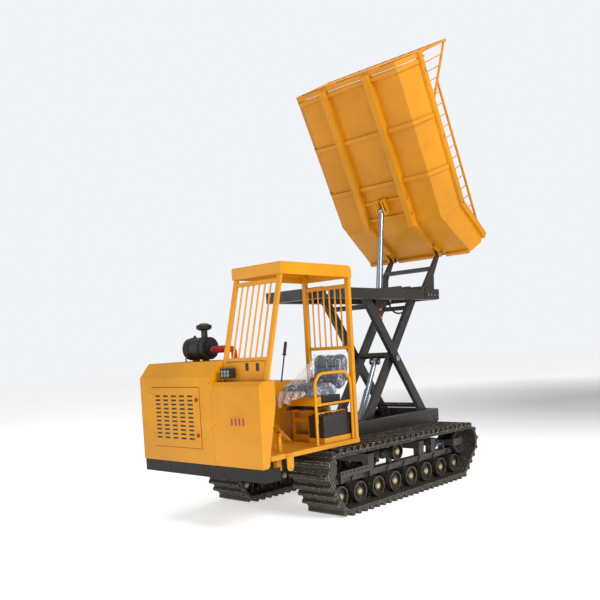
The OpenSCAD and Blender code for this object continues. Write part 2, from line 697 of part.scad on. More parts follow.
// Upper pivot of the lift cylinder, in the arm's own frame
lift_eye = [-arm_l / 2 - 40.7, -10.2];
module inner_arms() color(dark) translate([0, rear_y, high_z]) rotate([lift_angle, 0, 0]) {
  difference() {
    union() {
      pair() {
        arm_bar(inner_x);
        xcyl(mid_pin_r, inner_x + arm_w - 1, outer_x + arm_w + 4, -arm_l / 2, 0);
        xcyl(38, outer_x + arm_w + 1, outer_x + arm_w + 10, -arm_l / 2, 0);
        xcyl(slide_r_low, 326, 371, -arm_l, 0);
      }
      xcyl(pin_r, -328, 328, -arm_l, 0);
      box(-inner_x - 1, inner_x + 1, -arm_l / 2 - 6, -arm_l / 2 + 44, 0, 48);
      xcyl(26, -inner_x - 1, inner_x + 1, -170, 0);
      // cheeks of the lift cylinder's upper pivot
      pair() side_view(42, 12) union() {
        translate(lift_eye) circle(r = 36);
        polygon([lift_eye + [-22, 28], lift_eye + [70, 50], lift_eye + [70, 4], lift_eye + [10, -34]]);
      }
    }
    pair() xcyl(pin_r + fit, inner_x - 2, inner_x + arm_w + 2, 0, 0);
    xcyl(15 + pin_room, -60, 60, lift_eye[0], lift_eye[1]);
  }
}
module rail_channel(y0, y1, z0, h, x_in, x_out) {
  box(x_out - 8, x_out, y0, y1, z0, z0 + h);
  box(x_in, x_out, y0, y1, z0, z0 + 10);
  box(x_in, x_out, y0, y1, z0 + h - 10, z0 + h);
}
// Foot and head of the sloping front edge of a hinge tower
tower_foot = [1170, rail_z + 118];
tower_head = hinge + [-24, 16];
module tower_outline() {
  translate(hinge) circle(r = 32);
  polygon([tower_foot, [1440, rail_z + 118], [1452, rail_z + 300], hinge + [28, -10], tower_head]);
}
module top_frame() color(dark) difference() {
  union() {
    pair() {
      rail_channel(-699, 1424, rail_z, 112, 321, 381);
      xcyl(pin_r, inner_x - 6, 377, rear_y, high_z);
      xcyl(34, outer_x - 20, 377, rear_y, high_z);
      box(55, 75, 650, 885, rail_z - 44, rail_z + 130);
      // hinge tower: plate, front flange, boss and pin
      side_view(tower_x - 6, 12) tower_outline();
      edge = unit(tower_foot, tower_head);
      inward = 13 * [edge[1], -edge[0]];
      side_view(tower_x - 20, 40) polygon([
        tower_foot, tower_head - 60 * edge, tower_head - 60 * edge + inward, tower_foot + inward
      ]);
      xcyl(32, lug_in + lug_w / 2 + 1, lug_out - lug_w / 2 - 1, hinge[0], hinge[1]);
      xcyl(pin_r, lug_in - 14, lug_out + 14, hinge[0], hinge[1]);
      // foot of the tower, bolted to the side of the rail
      box(300, 391, tower_foot[0] - 12, 1452, rail_z + 111, rail_z + 123);
      box(380, 391, tower_foot[0] - 12, 1452, rail_z + 6, rail_z + 123);
      for (y = [1200, 1270, 1340, 1410]) xcyl(13, 390, 401, y, rail_z + 54, $fn = 6);
    }
    box(-374, 374, -699, -629, rail_z, rail_z + 112);
    box(-322, 322, 1370, 1424, rail_z, rail_z + 112);
    for (y = [650, 838]) box(-373, 373, y, y + 47, rail_z + 112, rail_z + 146);
    xcyl(25, -382, 382, 1118, rail_z + 130);
    box(-tower_x, tower_x, 1385, 1435, hinge[1] - 205, hinge[1] - 155);
  }
  pair() xcyl(20, 370, 384, -616, rail_z + 56);
  xcyl(trunnion_r + fit, -80, 80, tip_trunnion[0], tip_trunnion[1]);
}

// ---------------------------------------------------------------- cylinders
// Places children, drawn along +Z from the trunnion, on a cylinder's axis
module on_axis(at, lean) translate([0, at[0], at[1]]) rotate([-lean, 0, 0]) children();
module tube(r, r_in, z0, z1) difference() {
  translate([0, 0, z0]) cylinder(r = r, h = z1 - z0);
  translate([0, 0, z0 + 8]) cylinder(r = r_in, h = z1 - z0);
}
module barrel(r, r_in, z0, z1) {
  tube(r, r_in, z0, z1);
  for (s = [-1, 1]) xcyl(trunnion_r, s > 0 ? r - 2 : -79, s > 0 ? 79 : 2 - r);
  difference() {
    translate([0, 0, z1 - 34]) cylinder(r = r + 5, h = 34);
    translate([0, 0, z1 - 40]) cylinder(r = r_in, h = 60);
  }
}
module tip_barrel() color(maroon) on_axis(tip_trunnion, tip_lean) barrel(46, 38 + nest, -310, 100);
module tip_stage_1() color(silver) on_axis(tip_trunnion, tip_lean) tube(38, 32 + nest, -20, 410);
module tip_stage_2() color(silver) on_axis(tip_trunnion, tip_lean) tube(32, 26 + nest, 309, 726);
module cylinder_eye(r) {
  xcyl(r, -26, 26);
  xcyl(15, -56, 56);
}
module tip_stage_3() color(silver) on_axis(tip_trunnion, tip_lean) {
  translate([0, 0, 650]) cylinder(r = 26, h = tip_reach - 650);
  translate([0, 0, tip_reach]) cylinder_eye(30);
}
module lift_barrel() color(maroon) on_axis(lift_trunnion, lift_lean) barrel(45, 36 + nest, -345, 50);
module lift_stage_1() color(silver) on_axis(lift_trunnion, lift_lean) tube(36, 28 + nest, 10, 422);
module lift_stage_2() color(silver) on_axis(lift_trunnion, lift_lean) {
  translate([0, 0, 370]) cylinder(r = 28, h = lift_reach - 370);
  translate([0, 0, lift_reach]) xcyl(30, -30, 30);
  translate([0, 0, lift_reach]) xcyl(15, -58, 58);
}

// ---------------------------------------------------------------- bed
// The bed is drawn level, hinge axis at the origin, front toward -Y, then tipped.
side_x = floor_x + 155;
chamfer_h = 165;
module trough_section() polygon([
  [-side_x, side_h], [-side_x, chamfer_h], [-floor_x, 0], [floor_x, 0], [side_x, chamfer_h], [side_x, side_h],
  [side_x - sheet, side_h], [side_x - sheet, chamfer_h + 3], [floor_x - 3, sheet], [3 - floor_x, sheet],
  [sheet - side_x, chamfer_h + 3], [sheet - side_x, side_h]
]);
// Ramp part of the trough, in the ramp's own frame. Its floor widens toward the tail,
// so the chamfer plates turn outward and meet the sides lower down there.
flare_turn = atan2(flare, ramp_l);
flare_tilt = atan2(chamfer_h, (side_x - floor_x) * cos(flare_turn));
module chamfer_frame() translate([floor_x + 1.2, 0, -0.4]) rotate([0, 0, -flare_turn]) rotate([0, -flare_tilt, 0])
  children();
module ramp_trough() {
  back = 150;
  taper = flare * back / ramp_l;
  linear_extrude(sheet) polygon([
    [taper - floor_x, -back], [floor_x - taper, -back], [floor_x + flare, ramp_l], [-floor_x - flare, ramp_l]
  ]);
  pair() {
    intersection() {
      chamfer_frame() box(-2, 300, -2 * back, ramp_l + back, 0, sheet);
      box(0, side_x - 1, -back, ramp_l - 1, -10, side_h);
    }
    difference() {
      box(side_x - sheet, side_x, -back, ramp_l - 2, 60, side_h - 1);
      chamfer_frame() box(-400, 700, -3 * back, ramp_l + 2 * back, -500, 2);
    }
  }
}
module rib_section() polygon([
  [-side_x - 14, 182], [-side_x - 14, 148], [-floor_x - 14, -32], [floor_x + 14, -32], [side_x + 14, 148],
  [side_x + 14, 182], [side_x - 3, 168], [floor_x - 1, 3], [1 - floor_x, 3], [3 - side_x, 168]
]);
// Extrudes an XZ section forward (-Y) from y over a length l, its floor at height z
module forward(y, l, z) translate([0, y, z]) rotate([90, 0, 0]) linear_extrude(l) children();
// Half space behind (s = 1) or ahead of (s = -1) the mitre plane between floor and ramp.
// Each half runs 2 mm past the plane, so that the two are joined.
module mitre(s) translate([0, ramp_y, bed_floor]) rotate([ramp_angle / 2, 0, 0])
  translate([-1000, s > 0 ? 2 : -2002, -600]) cube([2000, 2000, 1600]);
module rims(y, l) pair() box(side_x - 9, side_x + 35, y - l, y, 180, side_h + 2);
module ramp_frame() translate([0, ramp_y, bed_floor]) rotate([ramp_angle, 0, 0]) children();
module hinge_lug(x0, w) side_view(x0, w) union() {
  circle(r = 36);
  polygon([[-170, -48], [-60, 14], [-4, 30], [26, -8], [-16, -26], [-120, -78]]);
}
module tip_clevis() {
  eye = [-751, -352];
  slot_r = 15 + pin_room;
  pair() difference() {
    side_view(42, 12) polygon([
      [eye[0] + 50, bed_floor + 2], eye + [50, -18], eye + [36, -34], eye + [-112, -34],
      eye + [-126, -18], [eye[0] - 126, bed_floor + 2]
    ]);
    side_view(41, 14) union() {
      translate(eye + [20, 0]) circle(r = slot_r);
      translate(eye + [-96, 0]) circle(r = slot_r);
      translate(eye + [-96, -slot_r]) square([116, 2 * slot_r]);
    }
  }
}
module bed_shell() {
  front = 2165;
  difference() {
    union() {
      forward(0, front, bed_floor) trough_section();
      translate([0, 0, bed_floor]) rims(0, bed_l);
    }
    mitre(1);
  }
  difference() {
    ramp_frame() {
      ramp_trough();
      rims(ramp_l + 4, ramp_l + 400);
    }
    mitre(-1);
  }
  forward(sheet - front, sheet, bed_floor) polygon([
    [-floor_x - 154, side_h], [-floor_x - 154, 166], [-floor_x, 1], [floor_x, 1], [floor_x + 154, 166],
    [floor_x + 154, side_h]
  ]);
}
module bed_frame() {
  for (y = [-1000, -1566, -2128]) forward(y, 45, bed_floor) rib_section();
  forward(50 - bed_l, 50, bed_floor) rib_section();
  for (y = [-615, -820]) forward(y, 34, bed_floor) polygon([[-beam_x, -30], [beam_x, -30], [beam_x, 1], [-beam_x, 1]]);
  pair() {
    box(beam_x, beam_x + beam_w, -bed_l + 20, ramp_y + 30, bed_floor - 80, bed_floor + 1);
    ramp_frame() box(beam_x, beam_x + beam_w, -10, ramp_l - 200, -45, 1);
    ramp_frame() box(beam_x, beam_x + beam_w, ramp_l - 201, ramp_l - 125, -20, 1);
    ramp_frame() box(lug_out + 40, floor_x + flare - 6, ramp_l - 42, ramp_l - 1, -28, 1);
    hinge_lug(lug_in - lug_w / 2, lug_w);
    hinge_lug(lug_out - lug_w / 2, lug_w);
    for (y = [-640, -829]) box(beam_x + beam_w - 1, beam_x + beam_w + 26, y - 14, y + 14, bed_floor - 60, bed_floor - 40);
  }
  ramp_frame() box(-lug_in + 20, lug_in - 20, ramp_l - 42, ramp_l - 1, -28, 1);
  tip_clevis();
}
rim_z = bed_floor + side_h + 2;
rack_z = 190;
rack_x = 826;
wing_top = 585;
wing_y = -1690;
module bed_racks() pair() {
  // side rack: top rail on upright rungs
  box(rack_x - 9, rack_x + 9, -1880, -250, rack_z, rack_z + 22);
  for (k = [0:11]) translate([rack_x, -470 - k * 118, rim_z - 4]) cylinder(r = 6, h = rack_z - rim_z + 8, $fn = 32);
  // front wing: post pair, sloping edge and rungs
  for (y = [-bed_l + 4, -bed_l + 52]) box(rack_x - 12, rack_x + 12, y - 2, y + 18, rim_z - 4, y > 40 - bed_l ? rim_z + 60 : wing_top);
  side_view(rack_x - 9, 18) polygon([
    [20 - bed_l, wing_top], [20 - bed_l, wing_top - 34], [wing_y - 30, rim_z - 2], [wing_y, rim_z - 2]
  ]);
  for (k = [1:4]) {
    y = 30 - bed_l + k * 96;
    rung = (wing_top - rim_z) * (wing_y - y) / (wing_y + bed_l);
    translate([rack_x, y, rim_z - 4]) cylinder(r = 6, h = rung - 8, $fn = 32);
  }
}
module headboard() {
  box(-838, 838, -bed_l, 26 - bed_l, wing_top, wing_top + 26);
  box(-838, 838, -bed_l, 26 - bed_l, rim_z - 4, rim_z + 30);
  for (k = [-6:6]) translate([k * 120, 13 - bed_l, rim_z]) cylinder(r = 8, h = wing_top - rim_z + 2, $fn = 32);
  pair() box(beam_x + 20, beam_x + 50, -bed_l, 26 - bed_l, bed_floor - 40, rim_z);
}
module dump_bed() color(yellow) translate([0, hinge[0], hinge[1]]) rotate([-tip_angle, 0, 0]) difference() {
  union() {
    bed_shell();
    bed_frame();
    bed_racks();
    headboard();
  }
  pair() xcyl(pin_r + fit, lug_in - 20, lug_out + 20, 0, 0);
}

// ---------------------------------------------------------------- sub-parts that come in pairs
module left_track_frame() track_frame(1);
module left_belt() belt(1);
module left_sprocket() sprocket(1);
module left_idler() idler(1);
module left_carrier() wheel_set(1, carrier_y, carrier_z, carrier_r);
module left_roller(i) wheel_set(1, roller_y(i - 1), roller_z, roller_r);
module right_track_frame() track_frame(-1);
module right_belt() belt(-1);
module right_sprocket() sprocket(-1);
module right_idler() idler(-1);
module right_carrier() wheel_set(-1, carrier_y, carrier_z, carrier_r);
module right_roller(i) wheel_set(-1, roller_y(i - 1), roller_z, roller_r);
module upper_latch() latch(latch_z[1]);
module lower_latch() latch(latch_z[0]);

left_track_frame();
left_belt();
left_sprocket();
left_idler();
left_carrier();
left_roller(1);  // left_roller_1
left_roller(2);  // left_roller_2
left_roller(3);  // left_roller_3
left_roller(4);  // left_roller_4
left_roller(5);  // left_roller_5
left_roller(6);  // left_roller_6
left_roller(7);  // left_roller_7
left_roller(8);  // left_roller_8
right_track_frame();
right_belt();
right_sprocket();
right_idler();
right_carrier();
right_roller(1);  // right_roller_1
right_roller(2);  // right_roller_2
right_roller(3);  // right_roller_3
right_roller(4);  // right_roller_4
right_roller(5);  // right_roller_5
right_roller(6);  // right_roller_6
right_roller(7);  // right_roller_7
right_roller(8);  // right_roller_8
chassis_frame();
lift_base();
front_skirt();
engine();
engine_hood();
hood_door();
upper_latch();
lower_latch();
rear_cover();
console();
work_lamp();
air_cleaner();
platform();
cab_frame();
cab_roof();
arm_rail();
seat_stand();
seat_base();
seat_cushion();
seat_back();
battery();
foot_pedal();
shift_lever();
outer_arms();
inner_arms();
top_frame();
tip_barrel();
tip_stage_1();
tip_stage_2();
tip_stage_3();
lift_barrel();
lift_stage_1();
lift_stage_2();
dump_bed();
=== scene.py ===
import bpy, bmesh, json, math
import numpy as np
from mathutils import Matrix, Vector

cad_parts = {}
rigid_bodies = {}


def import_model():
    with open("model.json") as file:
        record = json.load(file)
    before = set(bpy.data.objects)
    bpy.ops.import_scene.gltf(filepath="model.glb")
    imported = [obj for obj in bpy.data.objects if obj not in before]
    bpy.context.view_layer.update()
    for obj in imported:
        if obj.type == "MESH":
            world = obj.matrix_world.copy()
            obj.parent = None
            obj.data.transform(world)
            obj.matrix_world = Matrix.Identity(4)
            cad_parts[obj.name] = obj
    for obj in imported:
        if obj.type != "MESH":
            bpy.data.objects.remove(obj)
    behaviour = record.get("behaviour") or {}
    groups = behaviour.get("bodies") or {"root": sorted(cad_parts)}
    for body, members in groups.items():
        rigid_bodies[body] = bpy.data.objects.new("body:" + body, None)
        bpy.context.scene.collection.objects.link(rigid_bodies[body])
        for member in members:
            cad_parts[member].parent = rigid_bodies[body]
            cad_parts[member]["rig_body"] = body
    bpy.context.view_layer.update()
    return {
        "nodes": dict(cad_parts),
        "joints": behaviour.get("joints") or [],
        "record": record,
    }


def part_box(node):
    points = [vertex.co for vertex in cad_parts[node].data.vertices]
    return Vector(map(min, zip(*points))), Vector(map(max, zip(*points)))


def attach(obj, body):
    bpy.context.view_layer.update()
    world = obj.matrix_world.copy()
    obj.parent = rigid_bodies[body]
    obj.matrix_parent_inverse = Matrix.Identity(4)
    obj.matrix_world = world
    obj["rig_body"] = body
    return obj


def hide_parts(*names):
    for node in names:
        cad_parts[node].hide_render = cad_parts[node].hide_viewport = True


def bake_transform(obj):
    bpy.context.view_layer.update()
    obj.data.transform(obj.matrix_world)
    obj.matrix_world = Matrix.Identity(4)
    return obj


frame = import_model()
N = frame["nodes"]
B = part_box


# ---------------------------------------------------------------- materials
def new_mat(name):
    m = bpy.data.materials.new(name)
    m.use_nodes = True
    m.node_tree.nodes.clear()
    return m


class Net:
    """Small helper that adds shader nodes and links them by name."""

    def __init__(self, mat):
        self.t = mat.node_tree

    def add(self, kind, props=None, **inputs):
        n = self.t.nodes.new(kind)
        for k, v in (props or {}).items():
            setattr(n, k, v)
        for k, v in inputs.items():
            self.put(n, k.replace("_", " "), v)
        return n

    def put(self, n, key, v):
        s = n.inputs[int(key)] if key.isdigit() else n.inputs[key]
        if hasattr(v, "links"):
            self.t.links.new(v, s)
        else:
            s.default_value = v

    def noise(self, coords, scale, detail=4.0, rough=0.55, dist=0.0):
        n = self.add("ShaderNodeTexNoise", None)
        self.put(n, "Vector", coords)
        n.inputs["Scale"].default_value = scale
        n.inputs["Detail"].default_value = detail
        n.inputs["Roughness"].default_value = rough
        n.inputs["Distortion"].default_value = dist
        return n.outputs["Fac"]

    def remap(self, v, a, b, c=0.0, d=1.0):
        n = self.add("ShaderNodeMapRange", {"clamp": True})
        for k, x in zip(("Value", "From Min", "From Max", "To Min", "To Max"), (v, a, b, c, d)):
            self.put(n, k, x)
        return n.outputs["Result"]

    def math(self, op, a, b=0.0, clamp=False):
        n = self.add("ShaderNodeMath", {"operation": op, "use_clamp": clamp})
        self.put(n, "0", a)
        self.put(n, "1", b)
        return n.outputs[0]

    def mix(self, fac, a, b, mode="MIX"):
        n = self.add("ShaderNodeMix", {"data_type": "RGBA", "blend_type": mode})
        self.put(n, "0", fac)
        self.put(n, "6", a)
        self.put(n, "7", b)
        return n.outputs[2]

    def coords(self):
        return self.add("ShaderNodeTexCoord").outputs["Object"]


def rgb(h, k=1.0):
    c = [int(h[i:i + 2], 16) / 255 for i in (1, 3, 5)]
    c = [x / 12.92 if x <= 0.04045 else ((x + 0.055) / 1.055) ** 2.4 for x in c]
    return (c[0] * k, c[1] * k, c[2] * k, 1.0)


def surface(name, base, metallic=0.0, rough=0.45, vary=0.12, rough_vary=0.12, dust="#9C8D78", dust_top=0.0,
            low_dust=0.0, low_z=0.9, wear=None, wear_at=0.5, bump=0.15, bump_scale=60.0, coat=0.0, round_mm=2.5,
            streaks=0.0, scale=1.0, spec=0.5):
    """One weathered finish: colour drift, dust on upward faces and near the ground, worn edges, fine bump."""
    m = new_mat(name)
    n = Net(m)
    co = n.coords()
    geo = n.add("ShaderNodeNewGeometry")
    big = n.noise(co, 1.7 * scale, 3.0)
    mid = n.noise(co, 9.0 * scale, 5.0)
    fine = n.noise(co, 70.0 * scale, 4.0, 0.6)
    c0 = rgb(base)
    dark = tuple(x * (1 - vary * 1.6) for x in c0[:3]) + (1.0,)
    lite = tuple(min(1.0, x * (1 + vary * 0.9)) for x in c0[:3]) + (1.0,)
    col = n.mix(n.remap(big, 0.3, 0.7), dark, lite)
    col = n.mix(n.remap(mid, 0.35, 0.75, 0.0, 0.5), col, c0)
    rgh = n.remap(mid, 0.25, 0.75, rough - rough_vary, rough + rough_vary)
    if streaks:
        st = n.add("ShaderNodeMapping", {"vector_type": "POINT"})
        n.put(st, "Vector", co)
        st.inputs["Scale"].default_value = (22.0, 22.0, 0.9)
        run = n.remap(n.noise(st.outputs[0], 1.0, 3.0), 0.56, 0.78, 0.0, streaks)
        col = n.mix(run, col, tuple(x * 0.45 for x in c0[:3]) + (1.0,))
    bev = n.add("ShaderNodeBevel", {"samples": 4})
    bev.inputs["Radius"].default_value = round_mm / 1000
    met = metallic
    if wear:
        dot = n.add("ShaderNodeVectorMath", {"operation": "DOT_PRODUCT"})
        n.put(dot, "0", bev.outputs[0])
        n.put(dot, "1", geo.outputs["Normal"])
        edge = n.remap(dot.outputs["Value"], 0.995, 0.90)
        spot = n.remap(n.noise(co, 26.0, 5.0, 0.65), wear_at, wear_at + 0.1)
        fac = n.math("MULTIPLY", edge, spot)
        chips = n.remap(n.noise(co, 48.0, 6.0, 0.7), wear_at + 0.22, wear_at + 0.25)
        fac = n.math("MAXIMUM", fac, n.math("MULTIPLY", chips, 0.8))
        col = n.mix(fac, col, rgb(wear))
        rgh = n.math("ADD", rgh, n.math("MULTIPLY", fac, 0.18), True)
    sep = n.add("ShaderNodeSeparateXYZ")
    n.put(sep, "0", geo.outputs["Normal"])
    pos = n.add("ShaderNodeSeparateXYZ")
    n.put(pos, "0", geo.outputs["Position"])
    amount = n.math("MULTIPLY", n.remap(sep.outputs["Z"], 0.35, 1.0), dust_top)
    if low_dust:
        low = n.remap(pos.outputs["Z"], low_z, 0.05, 0.0, low_dust)
        amount = n.math("MAXIMUM", amount, low)
    if dust_top or low_dust:
        patch = n.remap(n.math("ADD", n.math("MULTIPLY", mid, 0.6), n.math("MULTIPLY", fine, 0.4)), 0.32, 0.62, 0.35, 1.0)
        amount = n.math("MULTIPLY", amount, patch, True)
        col = n.mix(amount, col, rgb(dust))
        rgh = n.mix(amount, rgh, (0.85, 0.85, 0.85, 1.0))
        if metallic:
            met = n.math("MULTIPLY", n.math("SUBTRACT", 1.0, amount), metallic)
    bmp = n.add("ShaderNodeBump")
    bmp.inputs["Strength"].default_value = bump
    bmp.inputs["Distance"].default_value = 0.0012
    n.put(bmp, "Height", n.noise(co, bump_scale * 4, 3.0))
    n.put(bmp, "Normal", bev.outputs[0])
    p = n.add("ShaderNodeBsdfPrincipled")
    n.put(p, "Base Color", col)
    n.put(p, "Metallic", met)
    n.put(p, "Roughness", rgh)
    n.put(p, "Normal", bmp.outputs[0])
    p.inputs["Coat Weight"].default_value = coat
    p.inputs["Coat Roughness"].default_value = 0.12
    p.inputs["Specular IOR Level"].default_value = spec
    out = n.add("ShaderNodeOutputMaterial")
    n.put(out, "Surface", p.outputs[0])
    return m


MAT = {
    "paint": surface("paint_yellow", "#CE8A0A", rough=0.38, vary=0.10, rough_vary=0.08, dust_top=0.07, low_dust=0.10,
                     low_z=0.9, wear="#6A4A30", wear_at=0.60, coat=0.04, bump=0.10, streaks=0.10, spec=0.3),
    # bed finish: a slightly darker yellow than the body paint as painted shade for its shaded underside; its heavier
    # streaks and wear are its own
    "bed": surface("paint_bed", "#CC860A", rough=0.42, vary=0.12, rough_vary=0.10, dust_top=0.06, wear="#5A4030",
                   wear_at=0.56, coat=0.03, bump=0.14, streaks=0.16, spec=0.3),
    "frame": surface("paint_frame", "#24211F", rough=0.40, vary=0.18, dust="#8E8272", dust_top=0.16, low_dust=0.14,
                     low_z=0.75, wear="#96836B", wear_at=0.43, bump=0.22, coat=0.08),
    "rubber": surface("track_rubber", "#19191A", rough=0.66, vary=0.20, dust="#857867", dust_top=0.14, low_dust=0.16,
                      low_z=0.9, wear="#C4B59E", wear_at=0.405, bump=0.5, bump_scale=90.0, round_mm=5.0, spec=0.35),
    "steel": surface("cylinder_steel", "#9AA3AC", metallic=1.0, rough=0.34, vary=0.05, rough_vary=0.04, bump=0.012,
                     round_mm=1.0, dust_top=0.1),
    "black": surface("black_plastic", "#161515", rough=0.46, vary=0.16, dust_top=0.12, low_dust=0.06, bump=0.20),
    "skirt": surface("skirt_paint", "#110E0D", rough=0.50, vary=0.15, dust_top=0.10, low_dust=0.03, low_z=0.6,
                     wear="#6B5B4B", wear_at=0.58, bump=0.18, spec=0.35),
    "maroon": surface("cylinder_paint", "#6A302F", rough=0.38, vary=0.14, dust_top=0.2, wear="#8A7A6A", wear_at=0.6),
    "engine": surface("engine_casting", "#232527", metallic=0.3, rough=0.60, vary=0.18, dust_top=0.35, bump=0.6),
    "seat": surface("seat_vinyl", "#2C3036", rough=0.50, vary=0.14, bump=0.35, bump_scale=140.0, round_mm=4.0),
    "red": surface("red_plastic", "#A3191D", rough=0.30, vary=0.10, bump=0.08, round_mm=1.0, coat=0.3),
    "battery": surface("battery_case", "#221F1E", rough=0.46, vary=0.14, dust_top=0.15, low_dust=0.08, bump=0.15),
    "roller": surface("roller_steel", "#1B1A1A", rough=0.40, vary=0.18, dust_top=0.12, low_dust=0.12, low_z=0.5,
                      wear="#B0A28E", wear_at=0.42, bump=0.3),
    "hose_red": surface("hose_red", "#B4232B", rough=0.42, vary=0.12, bump=0.25, round_mm=1.0, dust_top=0.15),
    "gear_red": surface("gear_red", "#7E2A22", rough=0.45, vary=0.15, dust_top=0.4, low_dust=0.3, bump=0.3),
    "dark_rubber": surface("dark_rubber", "#181818", rough=0.66, vary=0.15, dust_top=0.35, bump=0.3),
    "gold": surface("hub_gold", "#C6B484", metallic=0.8, rough=0.32, vary=0.14, low_dust=0.10, low_z=0.6, round_mm=1.0),
}
MAT["deck"] = surface("deck_paint", "#C07A18", rough=0.5, vary=0.16, dust_top=0.18, wear="#7A4A22", wear_at=0.36, bump=0.5,
                      bump_scale=30.0)
SLOT_MAT = {"paint": "paint", "frame": "frame", "rubber": "rubber", "steel": "steel", "black": "black",
            "skirt": "skirt", "maroon": "maroon", "engine": "engine", "seat": "seat", "red": "red",
            "battery": "battery"}
slot_of = {s["node"]: s["material_slot"] for s in frame["record"]["subparts"]}
for name, o in N.items():
    key = SLOT_MAT[slot_of[name]]
    if name == "dump_bed":
        key = "bed"
    if "roller" in name or "carrier" in name:
        key = "roller"
    o.data.materials.clear()
    o.data.materials.append(MAT[key])


# ---------------------------------------------------------------- builders of added pieces
def place(o, body, mat):
    o.data.materials.clear()
    o.data.materials.append(MAT[mat])
    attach(o, body)
    return o


def from_bmesh(name, bm, body, mat, smooth=True):
    me = bpy.data.meshes.new(name)
    bmesh.ops.recalc_face_normals(bm, faces=bm.faces)
    bm.to_mesh(me)
    bm.free()
    for p in me.polygons:
        p.use_smooth = smooth
    o = bpy.data.objects.new(name, me)
    bpy.context.scene.collection.objects.link(o)
    return place(o, body, mat)


def frame_of(axis):
    """Rotation that carries +Z onto axis."""
    return Vector((0, 0, 1)).rotation_difference(Vector(axis).normalized()).to_matrix()


def ring_solid(bm, profile, at, axis, segs=32):
    """Lathes a list of (radius, height) about axis at a point."""
    rot = frame_of(axis)
    rows = []
    for r, h in profile:
        rows.append([bm.verts.new(Vector(at) + rot @ Vector((r * math.cos(t), r * math.sin(t), h)))
                     for t in [2 * math.pi * k / segs for k in range(segs)]])
    for a, b in zip(rows, rows[1:]):
        for k in range(segs):
            bm.faces.new((a[k], a[(k + 1) % segs], b[(k + 1) % segs], b[k]))
    bm.faces.new(rows[0][::-1])
    bm.faces.new(rows[-1])


def lathe(name, items, body, mat, segs=32):
    """items: list of (profile, at, axis), joined in one piece; the profile is in metres."""
    bm = bmesh.new()
    for profile, at, axis in items:
        ring_solid(bm, profile, at, axis, segs)
    o = from_bmesh(name, bm, body, mat)
    shade_auto(o)
    return o


def shade_auto(o, angle=35):
    me = o.data
    me.update()
    bm = bmesh.new()
    bm.from_mesh(me)
    for e in bm.edges:
        e.smooth = len(e.link_faces) == 2 and e.calc_face_angle(0) < math.radians(angle)
    bm.to_mesh(me)
    bm.free()


def bolt_profile(r, h):
    return [(r * 1.35, 0), (r * 1.35, h * 0.22), (r, h * 0.24), (r, h * 0.85), (r * 0.82, h)]


def bolts(name, spots, axis, body, mat="steel", r=0.009, h=0.009):
    """Washer and hex head at each spot, standing up along axis."""
    bm = bmesh.new()
    for p in spots:
        ring_solid(bm, [(r * 1.4, -0.001), (r * 1.4, h * 0.2)], p, axis, 20)
        q = Vector(p) + Vector(axis).normalized() * h * 0.2
        ring_solid(bm, [(r, 0), (r, h * 0.7), (r * 0.8, h * 0.85)], q, axis, 6)
    return from_bmesh(name, bm, body, mat, smooth=False)


def tube(name, points, radius, body, mat, smooth_path=True):
    """A hose, cable or bent bar through the points."""
    c = bpy.data.curves.new(name, "CURVE")
    c.dimensions = "3D"
    c.bevel_depth = radius
    c.bevel_resolution = 5
    c.resolution_u = 10
    c.use_fill_caps = True
    sp = c.splines.new("BEZIER" if smooth_path else "POLY")
    if smooth_path:
        sp.bezier_points.add(len(points) - 1)
        for b, p in zip(sp.bezier_points, points):
            b.co = p
            b.handle_left_type = b.handle_right_type = "AUTO"
    else:
        sp.points.add(len(points) - 1)
        for b, p in zip(sp.points, points):
            b.co = (*p, 1)
    o = bpy.data.objects.new(name, c)
    bpy.context.scene.collection.objects.link(o)
    bpy.context.view_layer.update()
    dg = bpy.context.evaluated_depsgraph_get()
    me = bpy.data.meshes.new_from_object(o.evaluated_get(dg))
    bpy.data.objects.remove(o)
    for p in me.polygons:
        p.use_smooth = True
    m = bpy.data.objects.new(name, me)
    bpy.context.scene.collection.objects.link(m)
    return place(m, body, mat)


def blocks(name, boxes, body, mat, bevel=0.002, segs=2, rot=None, about=None):
    """Bevelled boxes (low corner, high corner) in one piece, turned about a point if asked."""
    bm = bmesh.new()
    for lo, hi in boxes:
        lo, hi = Vector(lo), Vector(hi)
        m = Matrix.Translation((lo + hi) / 2) @ Matrix.Diagonal((*(hi - lo), 1))
        bmesh.ops.create_cube(bm, size=1.0, matrix=m)
    if bevel:
        bmesh.ops.bevel(bm, geom=bm.edges[:], offset=bevel, segments=segs, affect="EDGES", clamp_overlap=True)
    if rot is not None:
        bmesh.ops.rotate(bm, verts=bm.verts, cent=about, matrix=rot)
    return from_bmesh(name, bm, body, mat, smooth=False)


def slab(name, outline, plane_x, thick, body, mat, bevel=0.0015):
    """An outline in the side view (y, z) given thickness along X."""
    bm = bmesh.new()
    a = [bm.verts.new((plane_x, y, z)) for y, z in outline]
    f = bm.faces.new(a)
    r = bmesh.ops.extrude_face_region(bm, geom=[f])
    bmesh.ops.translate(bm, verts=[v for v in r["geom"] if isinstance(v, bmesh.types.BMVert)], vec=(thick, 0, 0))
    if bevel:
        bmesh.ops.bevel(bm, geom=bm.edges[:], offset=bevel, segments=2, affect="EDGES", clamp_overlap=True)
    return from_bmesh(name, bm, body, mat, smooth=False)


# ---------------------------------------------------------------- tracks
def mm(*p):
    return tuple(v / 1000 for v in p)


for side, sg in (("left", 1), ("right", -1)):
    for who in ["carrier"] + [f"roller_{i}" for i in range(1, 9)]:
        a, b = B(f"{side}_{who}")
        cy_, cz_ = (a.y + b.y) / 2, (a.z + b.z) / 2
        caps = []
        for end in (-1, 1):
            x = (a.x + b.x) / 2 + end * 0.1055
            caps.append(([(0.033, -0.004), (0.033, 0.006), (0.030, 0.011), (0.021, 0.0145), (0.010, 0.0155)],
                         (x, cy_, cz_), (end, 0, 0)))
        lathe(f"{side}_{who}_caps", caps, f"{side}_{who}", "gold")


